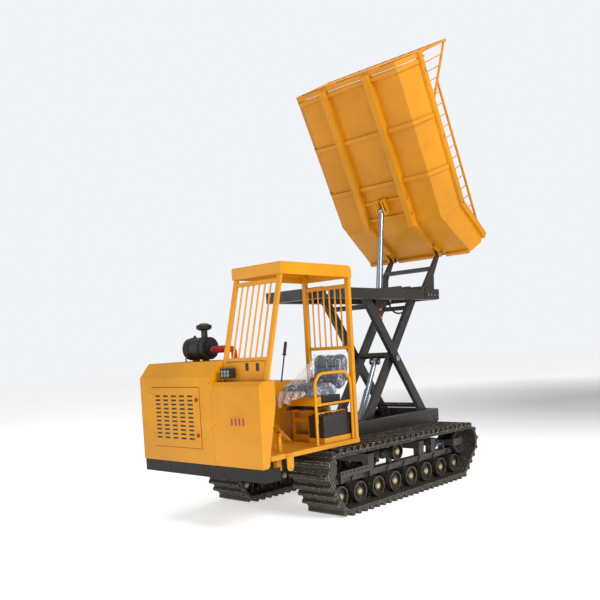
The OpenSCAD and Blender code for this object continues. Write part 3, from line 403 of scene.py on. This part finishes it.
# ---------------------------------------------------------------- seat: padded cushion and back, film over them
def film_mat(name, base, alpha):
    m = new_mat(name)
    n = Net(m)
    co = n.coords()
    pull = n.add("ShaderNodeMapping", {"vector_type": "POINT"})
    n.put(pull, "Vector", co)
    pull.inputs["Rotation"].default_value = (0.55, 0.35, 0.0)
    pull.inputs["Scale"].default_value = (1.9, 1.6, 0.55)
    w = n.add("ShaderNodeTexNoise", None)
    n.put(w, "Vector", pull.outputs[0])
    w.inputs["Scale"].default_value = 6.0
    w.inputs["Detail"].default_value = 5.0
    w.inputs["Distortion"].default_value = 0.5
    ridge = n.math("ABSOLUTE", n.math("SUBTRACT", w.outputs["Fac"], 0.5))
    crease = n.remap(ridge, 0.0, 0.035, 1.0, 0.0)
    bmp = n.add("ShaderNodeBump")
    bmp.inputs["Strength"].default_value = 0.7
    bmp.inputs["Distance"].default_value = 0.006
    n.put(bmp, "Height", n.math("ADD", crease, n.math("MULTIPLY", w.outputs["Fac"], 1.5)))
    p = n.add("ShaderNodeBsdfPrincipled")
    # white along the crease lines, more opaque there: painted highlight on the folds of the film
    n.put(p, "Base Color", n.mix(crease, (*base, 1), (0.80, 0.82, 0.85, 1)))
    n.put(p, "Roughness", n.remap(w.outputs["Fac"], 0.3, 0.7, 0.10, 0.24))
    n.put(p, "Alpha", n.remap(crease, 0.0, 1.0, alpha, alpha + 0.25))
    n.put(p, "Normal", bmp.outputs[0])
    p.inputs["Coat Weight"].default_value = 0.8
    p.inputs["Coat Roughness"].default_value = 0.08
    out = n.add("ShaderNodeOutputMaterial")
    n.put(out, "Surface", p.outputs[0])
    return m


MAT["film"] = film_mat("clear_film", (0.27, 0.34, 0.45), 0.30)
MAT["loose_film"] = film_mat("loose_film", (0.74, 0.71, 0.69), 0.32)


def pad(name, loops, body, voxel=0.007):
    """A closed padded form lofted through loops of points, remeshed evenly."""
    bm = bmesh.new()
    rows = [[bm.verts.new(p) for p in loop] for loop in loops]
    k = len(rows[0])
    for a, b in zip(rows, rows[1:]):
        for i in range(k):
            bm.faces.new((a[i], a[(i + 1) % k], b[(i + 1) % k], b[i]))
    bm.faces.new(rows[0][::-1])
    bm.faces.new(rows[-1])
    o = from_bmesh(name, bm, body, "seat")
    r = o.modifiers.new("even", "REMESH")
    r.mode = "VOXEL"
    r.voxel_size = voxel
    apply_mods(o)
    return o


def apply_mods(o):
    dg = bpy.context.evaluated_depsgraph_get()
    me = bpy.data.meshes.new_from_object(o.evaluated_get(dg))
    o.modifiers.clear()
    old = o.data
    o.data = me
    me.name = old.name
    for p in me.polygons:
        p.use_smooth = True


def coords_of(me):
    a = np.zeros(len(me.vertices) * 3)
    me.vertices.foreach_get("co", a)
    return a.reshape(-1, 3)


def inflate(o, cap, hold, pressure=4.0):
    """Cloth pass under inner pressure; vertices where hold() is true stay, and no vertex moves past the cap."""
    rest = coords_of(o.data)
    g = o.vertex_groups.new(name="hold")
    g.add([i for i, p in enumerate(rest) if hold(p)], 1.0, "REPLACE")
    m = o.modifiers.new("cloth", "CLOTH")
    st = m.settings
    st.quality = 5
    st.mass = 0.25
    st.tension_stiffness = st.compression_stiffness = 12
    st.bending_stiffness = 0.6
    st.use_pressure = True
    st.uniform_pressure_force = pressure
    st.effector_weights.gravity = 0.0
    st.vertex_group_mass = "hold"
    m.point_cache.frame_start, m.point_cache.frame_end = 1, 20
    sc = bpy.context.scene
    for f in range(1, 21):
        sc.frame_set(f)
    dg = bpy.context.evaluated_depsgraph_get()
    now = coords_of(o.evaluated_get(dg).data)
    o.modifiers.clear()
    sc.frame_set(1)
    d = now - rest
    size = np.linalg.norm(d, axis=1)
    d *= np.minimum(1.0, cap / np.maximum(size, 1e-9))[:, None]
    o.data.vertices.foreach_set("co", (rest + d).ravel())
    o.data.update()


def smooth_noise(p, k):
    return (math.sin(p[0] * 13.1 * k + 1.3) * math.cos(p[1] * 11.7 * k - 0.7) + math.sin(p[1] * 17.3 * k + p[2] * 9.1 * k)
            + math.cos(p[2] * 15.1 * k + p[0] * 8.3 * k + 2.1)) / 3


def crease(p, k, turn):
    """Sharp-ridged fold field in 0..1."""
    a = p[0] * math.cos(turn) + p[1] * math.sin(turn) + 0.6 * p[2]
    w = smooth_noise(p, 1.0) * 0.9
    return (1 - abs(math.sin(a * k + w * 4.0))) ** 3


def rounded_loop(x0, x1, y0, y1, z, r, n=10):
    pts = []
    for cx_, cy_, a0 in ((x1 - r, y0 + r, -90), (x1 - r, y1 - r, 0), (x0 + r, y1 - r, 90), (x0 + r, y0 + r, 180)):
        for i in range(n):
            t = math.radians(a0 + 90 * i / (n - 1))
            pts.append((cx_ + r * math.cos(t), cy_ + r * math.sin(t), z))
    return pts


def seat_pass():
    a, b = B("seat_cushion")
    x0, x1, y0, y1 = a.x + 0.012, b.x - 0.012, a.y + 0.012, b.y - 0.010
    z0, z1 = a.z + 0.004, b.z - 0.016
    loops = []
    for inset, z in ((0.030, z0), (0.010, z0 + 0.006), (0.0, z0 + 0.022), (0.0, z1 - 0.026), (0.008, z1 - 0.010),
                     (0.026, z1)):
        loops.append(rounded_loop(x0 + inset, x1 - inset, y0 + inset, y1 - inset, z, 0.055))
    cushion = pad("seat_cushion_pad", loops, "seat")
    inner = []
    c, d = B("seat_back")
    lean = math.atan2(0.075, 0.33)
    for inset, t in ((0.034, 0.0), (0.012, 0.006), (0.0, 0.020), (0.0, 0.046), (0.010, 0.058), (0.030, 0.064)):
        pts = rounded_loop(c.x + 0.010 + inset, d.x - 0.010 - inset, 0.012 + inset, 0.352 - inset, t, 0.075)
        inner.append([(p[0], -0.879 + p[1] * math.sin(lean) + (p[2] - 0.010) * math.cos(lean),
                       1.140 + p[1] * math.cos(lean) - (p[2] - 0.010) * math.sin(lean)) for p in pts])
    back = pad("seat_back_pad", inner, "seat")
    inflate(cushion, 0.024, lambda p: p[2] < z0 + 0.006)
    inflate(back, 0.022, lambda p: (p[1] + 0.879) * math.cos(lean) - (p[2] - 1.14) * math.sin(lean) > 0.050)
    # sewn channels pressed into the top of the cushion and the front of the back
    for o, lines, axis in ((cushion, (y0 + 0.13, y0 + 0.27), 1), (back, (1.25, 1.36), 2)):
        p = coords_of(o.data)
        nrm = np.array([v.normal[:] for v in o.data.vertices])
        face = np.clip(nrm[:, 2] if axis == 1 else -nrm[:, 1], 0, 1)
        for at in lines:
            p -= nrm * (0.006 * np.exp(-((p[:, axis] - at) / 0.006) ** 2) * face)[:, None]
        o.data.vertices.foreach_set("co", p.ravel())
        o.data.update()
        s = o.modifiers.new("fine", "SUBSURF")
        s.levels = s.render_levels = 1
        apply_mods(o)
    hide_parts("seat_cushion")
    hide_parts("seat_back")
    # film: the padded shapes again, a little larger, folded
    for src, name, turn in ((cushion, "seat_cushion_film", 0.5), (back, "seat_back_film", 2.2)):
        me = src.data.copy()
        film = bpy.data.objects.new(name, me)
        bpy.context.scene.collection.objects.link(film)
        me.update()
        p = coords_of(me)
        nrm = np.array([v.normal[:] for v in me.vertices])
        lift = np.array([0.0035 + 0.006 * crease(q * 1.0, 34.0, turn) + 0.002 * (1 + smooth_noise(q, 4.0)) for q in p])
        me.vertices.foreach_set("co", (p + nrm * lift[:, None]).ravel())
        me.update()
        place(film, "seat", "film")
    # loose film: a side gusset stretched from the top of the back to the front of the cushion, and a hanging front flap
    top, toe, nook = Vector((c.x + 0.050, -0.834, d.z - 0.022)), Vector((a.x + 0.030, a.y + 0.05, b.z)), \
        Vector((a.x + 0.036, -0.925, b.z - 0.008))
    rows = []
    for i in range(41):
        u = i / 40
        outer = top.lerp(toe, u) + (nook - top.lerp(toe, u)) * 0.55 * u * (1 - u)
        inner_p = top.lerp(nook, 2 * u) if u < 0.5 else nook.lerp(toe, 2 * u - 1)
        rows.append([outer.lerp(inner_p, j / 16) + Vector((0.010 * math.sin(9 * u + 0.35 * j) * (1 - u * 0.5), 0, 0))
                     for j in range(17)])
    sheet("seat_film_gusset", rows)
    rows = []
    for i in range(37):
        u = i / 36
        drop = 0.135 * (1 - 0.75 * u ** 1.4) * (1 + 0.14 * math.sin(17 * u + 1))
        rows.append([Vector((a.x + 0.01 + 0.33 * u, a.y - 0.004 - (0.006 + 0.012 * v) * (1 + math.sin(21 * u + 3 * v)),
                             b.z - 0.045 - drop * v)) for v in [k / 14 for k in range(15)]])
    sheet("seat_film_flap", rows)


def sheet(name, rows, thick=0.0012):
    """A grid of points with folds pressed in, closed to a thin skin of film."""
    bm = bmesh.new()
    grid = [[bm.verts.new(p) for p in row] for row in rows]
    for r, q in zip(grid, grid[1:]):
        for k in range(len(r) - 1):
            bm.faces.new((r[k], r[k + 1], q[k + 1], q[k]))
    bm.normal_update()
    for v in bm.verts:
        v.co += v.normal * 0.007 * crease(v.co, 30.0, 1.1)
    bm.normal_update()
    bmesh.ops.solidify(bm, geom=bm.faces[:], thickness=thick)
    return from_bmesh(name, bm, "seat", "loose_film")


seat_pass()


# ---------------------------------------------------------------- bed details, placed in the bed's own level frame
J = {j["name"]: j for j in frame["joints"]}
TIP = math.radians(63.0)
bed_hinge = Vector(J["tip"]["pos_m"])
bed_turn = Matrix.Rotation(-TIP, 3, "X")


def bp(x, y, z):
    """Millimetres in the level bed frame (y forward is negative) to metres in the row frame."""
    return bed_hinge + bed_turn @ (Vector((x, y, z)) / 1000)


def weld(name, points, body, mat, r=0.0035, seed=3):
    """A bead of overlapping ripples along a polyline (metres)."""
    bm = bmesh.new()
    rng = np.random.RandomState(seed)
    for a, b in zip(points, points[1:]):
        a, b = Vector(a), Vector(b)
        n = max(2, int((b - a).length / (r * 1.3)))
        d = (b - a).normalized()
        rot = frame_of(d)
        rings = []
        for i in range(n * 2 + 1):
            t = i / (n * 2)
            rr = r * ((1.0 if i % 2 else 0.8) + rng.uniform(-0.06, 0.06))
            rings.append([bm.verts.new(a.lerp(b, t) + rot @ Vector((rr * math.cos(u), rr * math.sin(u), 0)))
                          for u in [2 * math.pi * k / 6 for k in range(6)]])
        for p, q in zip(rings, rings[1:]):
            for k in range(6):
                bm.faces.new((p[k], p[(k + 1) % 6], q[(k + 1) % 6], q[k]))
    return from_bmesh(name, bm, body, mat)


bolts("bed_rim_bolts_left", [bp(854, -u, -29) for u in (573, 1329, 2044)], (1, 0, 0), "dump_bed", r=0.011, h=0.012)
bolts("bed_rim_bolts_right", [bp(-854, -u, -29) for u in (573, 1329, 2044)], (-1, 0, 0), "dump_bed", r=0.011, h=0.012)
floor_z_bed = -245
for k, y in enumerate((-1000, -1566, -2128)):
    for j, yy in enumerate((y, y - 45)):
        weld(f"bed_rib_weld_{k}_{j}", [bp(-819, yy, floor_z_bed + 165), bp(-664, yy, floor_z_bed - 1),
                                       bp(664, yy, floor_z_bed - 1), bp(819, yy, floor_z_bed + 165)],
             "dump_bed", "bed", r=0.004, seed=k * 2 + j)
for k, x in enumerate((-338, -266, 266, 338)):
    weld(f"bed_beam_weld_{k}", [bp(x, -2210, floor_z_bed - 1), bp(x, -520, floor_z_bed - 1)], "dump_bed", "bed",
         r=0.004, seed=20 + k)


# ---------------------------------------------------------------- console, dash, hood, air cleaner
FRONT = -2030
blocks("console_stripes", [(mm(424 + 46 * k, FRONT - 3.2, 940), mm(446 + 46 * k, FRONT - 1.6, 1000)) for k in range(4)],
       "chassis", "red", bevel=0.0004)
bolts("console_screws", [mm(x, FRONT, z) for x in (214, 756) for z in (620, 930, 1235)], (0, -1, 0), "chassis", "paint",
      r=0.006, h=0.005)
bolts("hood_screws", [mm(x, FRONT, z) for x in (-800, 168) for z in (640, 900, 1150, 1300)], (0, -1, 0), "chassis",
      "paint", r=0.006, h=0.005)
blocks("dash_slots", [(mm(x - 18, -1900.5, z), mm(x + 18, -1893, z + 66)) for x, z in ((519, 1389), (644, 1386))], "chassis",
       "black", bevel=0.001)
# lamp: dark reflector face with two rows of three bright cells
MAT["lens"] = surface("lamp_cell", "#77736E", rough=0.22, vary=0.10, rough_vary=0.05, bump=0.5, bump_scale=40.0,
                      round_mm=1.0, coat=0.5)
blocks("lamp_face", [(mm(258, -1970, 1344), mm(374, -1966, 1404))], "chassis", "dark_rubber", bevel=0.0015)
lathe("lamp_cells", [([(0.0155, -0.001), (0.0155, 0.002), (0.0125, 0.0045), (0.007, 0.0062), (0.002, 0.0068)],
                      mm(279 + 37 * i, -1970, 1359 + 30 * j), (0, -1, 0)) for i in range(3) for j in range(2)], "chassis",
      "lens", segs=24)
# painted shade: a black sheet just behind the louvres of the door, standing in for the shade inside the hood
da, db = B("hood_door")
blocks("door_painted_shade", [((da.x + 0.045, db.y + 0.001, da.z + 0.045), (db.x - 0.045, db.y + 0.004, db.z - 0.045))],
       "hood_door", "black", bevel=0.0)
# battery cables
tube("battery_cable_1", [mm(655, -812, 952), mm(658, -775, 975), mm(655, -752, 945), mm(640, -750, 870), mm(590, -748, 790)],
     0.0075, "chassis", "black")
tube("battery_cable_2", [mm(640, -1130, 950), mm(628, -1080, 972), mm(600, -1010, 962), mm(560, -960, 945), mm(520, -930, 900)],
     0.0075, "chassis", "black")
# hood lifting handle
tube("hood_handle", [mm(-420, -1780, 1481), mm(-420, -1780, 1520), mm(-420, -1700, 1528), mm(-420, -1620, 1520),
                     mm(-420, -1620, 1481)], 0.006, "chassis", "black")
# strap bands and clamp screws of the air cleaner
for k, x in enumerate((-470, -262)):
    lathe(f"cleaner_band_{k}", [([(0.1065, -0.009), (0.1068, 0.009)], mm(x, -1650, 1600), (1, 0, 0))], "chassis", "dark_rubber",
          segs=64)
bolts("cleaner_clips", [mm(x, -1650 - 108 * math.sin(math.radians(t)), 1600 + 108 * math.cos(math.radians(t)))
                        for x in (-290, -432) for t in (40, -50)], (0, -0.6, 0.8), "chassis", r=0.008, h=0.012)
lathe("hose_ribs", [([(0.027, -0.0038), (0.0335, -0.001), (0.0335, 0.001), (0.027, 0.0038)], mm(x, -1650, 1585), (1, 0, 0))
                    for x in range(-164, 36, 9)], "chassis", "hose_red", segs=40)
lathe("hose_clamps", [([(0.0285, -0.006), (0.0292, -0.005), (0.0292, 0.005), (0.0285, 0.006)], mm(x, -1650, 1585), (1, 0, 0))
                      for x in (-180, 45)], "chassis", "steel", segs=40)
lathe("cap_fins", [([(0.0735, -0.002), (0.0742, 0.0), (0.0735, 0.002)], mm(-290, -1650, z), (0, 0, 1))
                   for z in (1788, 1794, 1800, 1806, 1812)], "chassis", "black", segs=48)


# ---------------------------------------------------------------- lift, frames, cylinders
def blend_tube(name, points, radius, a, mat="dark_rubber"):
    o = tube(name, points, radius, a, mat)
    world = o.matrix_world.copy()
    o.parent = None
    del o["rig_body"]
    o.matrix_world = world
    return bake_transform(o)


blend_tube("top_hose", [mm(94, 860, 2010), mm(94, 858, 1965), mm(100, 902, 1915), mm(118, 985, 1886), mm(152, 1030, 1895),
                        mm(172, 1042, 1908)], 0.010, "top_frame")
blend_tube("low_hose", [mm(-110, 1010, 640), mm(-110, 990, 755), mm(-130, 930, 850), mm(-180, 890, 915), mm(-236, 905, 950),
                        mm(-256, 940, 975)], 0.011, "chassis")
lathe("top_hose_fitting", [([(0.011, 0), (0.011, 0.02), (0.016, 0.021), (0.016, 0.036), (0.010, 0.037), (0.010, 0.06)],
                            mm(94, 860, 2060), (0, 0, -1))], "top_frame", "steel", segs=12)
rest_lift = math.radians(52.8)
for k, sg in enumerate((1, -1)):
    centre = Vector(J["lift_cross"]["pos_m"])
    lathe(f"centre_pin_{k}", [([(0.036, 0.0), (0.036, 0.003), (0.032, 0.006), (0.010, 0.0075)],
                               (sg * 0.311, centre.y, centre.z), (sg, 0, 0)),
                              ([(0.0055, 0.004), (0.0055, 0.012), (0.003, 0.015)],
                               (sg * 0.311, centre.y, centre.z), (sg, 0, 0))], "inner_arms", "steel")
    h = Vector(J["tip"]["pos_m"])
    lathe(f"hinge_nut_{k}", [([(0.026, 0), (0.026, 0.012), (0.022, 0.015)], (sg * 0.374, h.y, h.z), (sg, 0, 0))],
          "top_frame", "steel", segs=6)
    bolts(f"tower_bolts_{k}", [(sg * 0.401, y / 1000, 2.0808) for y in (1200, 1270, 1340, 1410)], (sg, 0, 0), "top_frame",
          r=0.010, h=0.008)
    weld(f"tower_weld_{k}", [(sg * 0.3825, 1.160, 2.0318), (sg * 0.3825, 1.422, 2.0318)], "top_frame", "frame",
         seed=40 + k)
    slab(f"rail_tab_{k}", [(0.60, 2.139), (0.66, 2.139), (0.655, 2.158), (0.61, 2.160)], sg * 0.372 - 0.005, 0.010,
         "top_frame", "frame")
    # light worn edge strips of the base channel
    weld(f"base_weld_{k}", [(sg * 0.3935, -0.69, 0.606), (sg * 0.3935, 1.29, 0.606)], "chassis", "frame",
         r=0.003, seed=50 + k)


tip_ax = Vector(J["tip_stage_1_slide"]["axis"])
lift_ax = Vector(J["lift_stage_1_slide"]["axis"])


def gland(name, base, ax, r_in, r_out, h, body, segs=48):
    """Ring on the open end of a tube, round the next stage."""
    bm = bmesh.new()
    rot = frame_of(ax)
    rows = [[bm.verts.new(base + rot @ Vector((r * math.cos(t), r * math.sin(t), z)))
             for t in [2 * math.pi * k / segs for k in range(segs)]]
            for r, z in ((r_in, 0), (r_out, 0), (r_out, h * 0.7), (r_out - 0.0015, h), (r_in, h))]
    for a, b in zip(rows, rows[1:] + rows[:1]):
        for k in range(segs):
            bm.faces.new((a[k], a[(k + 1) % segs], b[(k + 1) % segs], b[k]))
    o = from_bmesh(name, bm, body, "steel")
    shade_auto(o)


T0 = Vector(J["tip_barrel_swing"]["pos_m"])
L0 = Vector(J["lift_barrel_swing"]["pos_m"])
gland("tip_gland_1", T0 + tip_ax * 0.4102, tip_ax, 0.0324, 0.0388, 0.014, "tip_stage_1")
gland("tip_gland_2", T0 + tip_ax * 0.7262, tip_ax, 0.0264, 0.0319, 0.012, "tip_stage_2")
gland("lift_gland_1", L0 + lift_ax * 0.4222, lift_ax, 0.0284, 0.0366, 0.006, "lift_stage_1")
lathe("tip_foot_dome", [([(0.040, 0), (0.038, 0.003), (0.028, 0.006), (0.012, 0.0075)], T0 - tip_ax * 0.3085, -tip_ax)],
      "tip_barrel", "steel", segs=48)
# plain yellow paint band and oil port on the tip barrel
MAT["band"] = surface("yellow_band", "#E8C53A", rough=0.4, vary=0.08, round_mm=1.0)
bp_ = T0 - tip_ax * 0.175
slab_r = frame_of(tip_ax)
bm = bmesh.new()
rows = []
for k in range(9):
    t = math.radians(-75 + 10 * k)
    rows.append([bm.verts.new(bp_ + slab_r @ Vector((0.0468 * math.cos(t), 0.0468 * math.sin(t), z))) for z in (-0.008, 0.008)])
for p, q in zip(rows, rows[1:]):
    bm.faces.new((p[0], q[0], q[1], p[1]))
from_bmesh("barrel_band", bm, "tip_barrel", "band")
port = frame_of(tip_ax) @ Vector((math.cos(-0.6), math.sin(-0.6), 0))
lathe("barrel_port", [([(0.017, 0), (0.017, 0.012), (0.012, 0.014), (0.012, 0.022)], T0 - tip_ax * 0.075 + port * 0.044, port)],
      "tip_barrel", "steel", segs=24)


# ---------------------------------------------------------------- colours of single features on CAD nodes
def tint(node, mat, test):
    """Gives the faces of a CAD node whose centre passes the test another finish."""
    me = N[node].data
    if MAT[mat].name not in [m.name for m in me.materials]:
        me.materials.append(MAT[mat])
    i = [m.name for m in me.materials].index(MAT[mat].name)
    for p in me.polygons:
        c = p.center
        if test(c.x * 1000, c.y * 1000, c.z * 1000):
            p.material_index = i


tint("air_cleaner", "hose_red", lambda x, y, z: x > -194.5 and y < -1600)
tint("air_cleaner", "steel", lambda x, y, z: y > -1530)
tint("air_cleaner", "paint", lambda x, y, z: z < 1500 and x < -200)
tint("seat_base", "paint", lambda x, y, z: y < -1151 and z > 1012.5)
tint("battery", "paint", lambda x, y, z: (z < 730.5 and (z < 712.5 or x < 540 or x > 714 or y < -1176 or y > -772))
     or (639 < x < 663 and z > 928.5 and y < -790) or z > 946 or (y < -1180 and z > 731))
tint("foot_pedal", "dark_rubber", lambda x, y, z: abs(x - 650) > 44.5)
deck_z = B("platform")[1].z * 1000
tint("platform", "deck", lambda x, y, z: z > deck_z - 0.6)
tint("seat_stand", "black", lambda x, y, z: z > 984.5)
tint("engine", "black", lambda x, y, z: y < -1832)
for side in ("left", "right"):
    tint(f"{side}_track_frame", "steel", lambda x, y, z: 799 < y < 1000 and abs(abs(x) - 625) < 31 and abs(z - 395) < 32
         and z > 364)
    tint(f"{side}_track_frame", "gear_red", lambda x, y, z: y < -1060 and z > 366 and abs(x) < 507)


# ---------------------------------------------------------------- floor, lights, camera
def stage_mat(name, color, rough):
    m = new_mat(name)
    n = Net(m)
    co = n.coords()
    col = n.mix(n.remap(n.noise(co, 0.35, 3.0), 0.3, 0.7), tuple(x * 0.97 for x in color[:3]) + (1,), color)
    p = n.add("ShaderNodeBsdfPrincipled")
    n.put(p, "Base Color", col)
    p.inputs["Roughness"].default_value = rough
    away = n.add("ShaderNodeVectorMath", {"operation": "LENGTH"})
    n.put(away, "0", co)
    n.put(p, "Emission Color", col)
    n.put(p, "Emission Strength", n.remap(away.outputs["Value"], 2.0, 10.0, 0.0, 0.66))
    out = n.add("ShaderNodeOutputMaterial")
    n.put(out, "Surface", p.outputs[0])
    return m


bpy.ops.mesh.primitive_plane_add(size=80, location=(0, 10, -0.001))
floor = bpy.context.object
floor.name = "floor"
floor.data.materials.append(stage_mat("floor_mat", (0.86, 0.855, 0.84, 1), 0.8))

world = bpy.data.worlds.new("studio")
bpy.context.scene.world = world
world.use_nodes = True
wt = world.node_tree
bg = wt.nodes["Background"]
bg.inputs[0].default_value = (0.95, 0.97, 1.0, 1)
seen = wt.nodes.new("ShaderNodeLightPath")
level = wt.nodes.new("ShaderNodeMapRange")
level.inputs["To Min"].default_value = 0.40
level.inputs["To Max"].default_value = 0.93
wt.links.new(seen.outputs["Is Camera Ray"], level.inputs["Value"])
wt.links.new(level.outputs["Result"], bg.inputs["Strength"])


def area(name, loc, target, size, power, color=(1, 1, 1)):
    d = bpy.data.lights.new(name, "AREA")
    d.shape = "RECTANGLE"
    d.size, d.size_y = size
    d.energy = power
    d.color = color
    o = bpy.data.objects.new(name, d)
    bpy.context.scene.collection.objects.link(o)
    o.location = loc
    o.rotation_mode = "QUATERNION"
    o.rotation_quaternion = (Vector(target) - Vector(loc)).to_track_quat("-Z", "Y")
    return o


area("key", (10.0, -2.5, 7.5), (0, -0.3, 1.6), (4.0, 4.0), 960, (1.0, 0.98, 0.94))
area("fill", (-5.0, -9.0, 4.5), (0, -0.5, 1.5), (6.0, 5.0), 190, (0.92, 0.96, 1.0))
area("top", (0.0, 1.0, 10.0), (0, 0, 1.0), (7.0, 7.0), 330, (0.95, 0.98, 1.0))
area("low", (4.0, -6.0, 0.6), (0.2, 0.6, 3.2), (3.0, 1.0), 90, (1.0, 0.96, 0.9))

bpy.context.scene.view_settings.view_transform = "Standard"
yaw, pitch, roll = math.radians(43.01), math.radians(2.09), math.radians(3.29)
fwd = Vector((-math.sin(yaw) * math.cos(pitch), math.cos(yaw) * math.cos(pitch), -math.sin(pitch)))
right = Vector((math.cos(yaw), math.sin(yaw), 0))
up = right.cross(fwd)
cx = right * math.cos(roll) - up * math.sin(roll)
cy = right * math.sin(roll) + up * math.cos(roll)
cam_data = bpy.data.cameras.new("camera")
cam = bpy.data.objects.new("camera", cam_data)
bpy.context.scene.collection.objects.link(cam)
rot = Matrix((cx, cy, -fwd)).transposed()
cam.matrix_world = Matrix.Translation((4.910, -6.124, 1.575)) @ rot.to_4x4()
cam_data.lens = 43.42
cam_data.sensor_width = 36.0
cam_data.shift_x = 0.0225
cam_data.shift_y = 0.1215
cam_data.clip_end = 200
bpy.context.scene.camera = cam
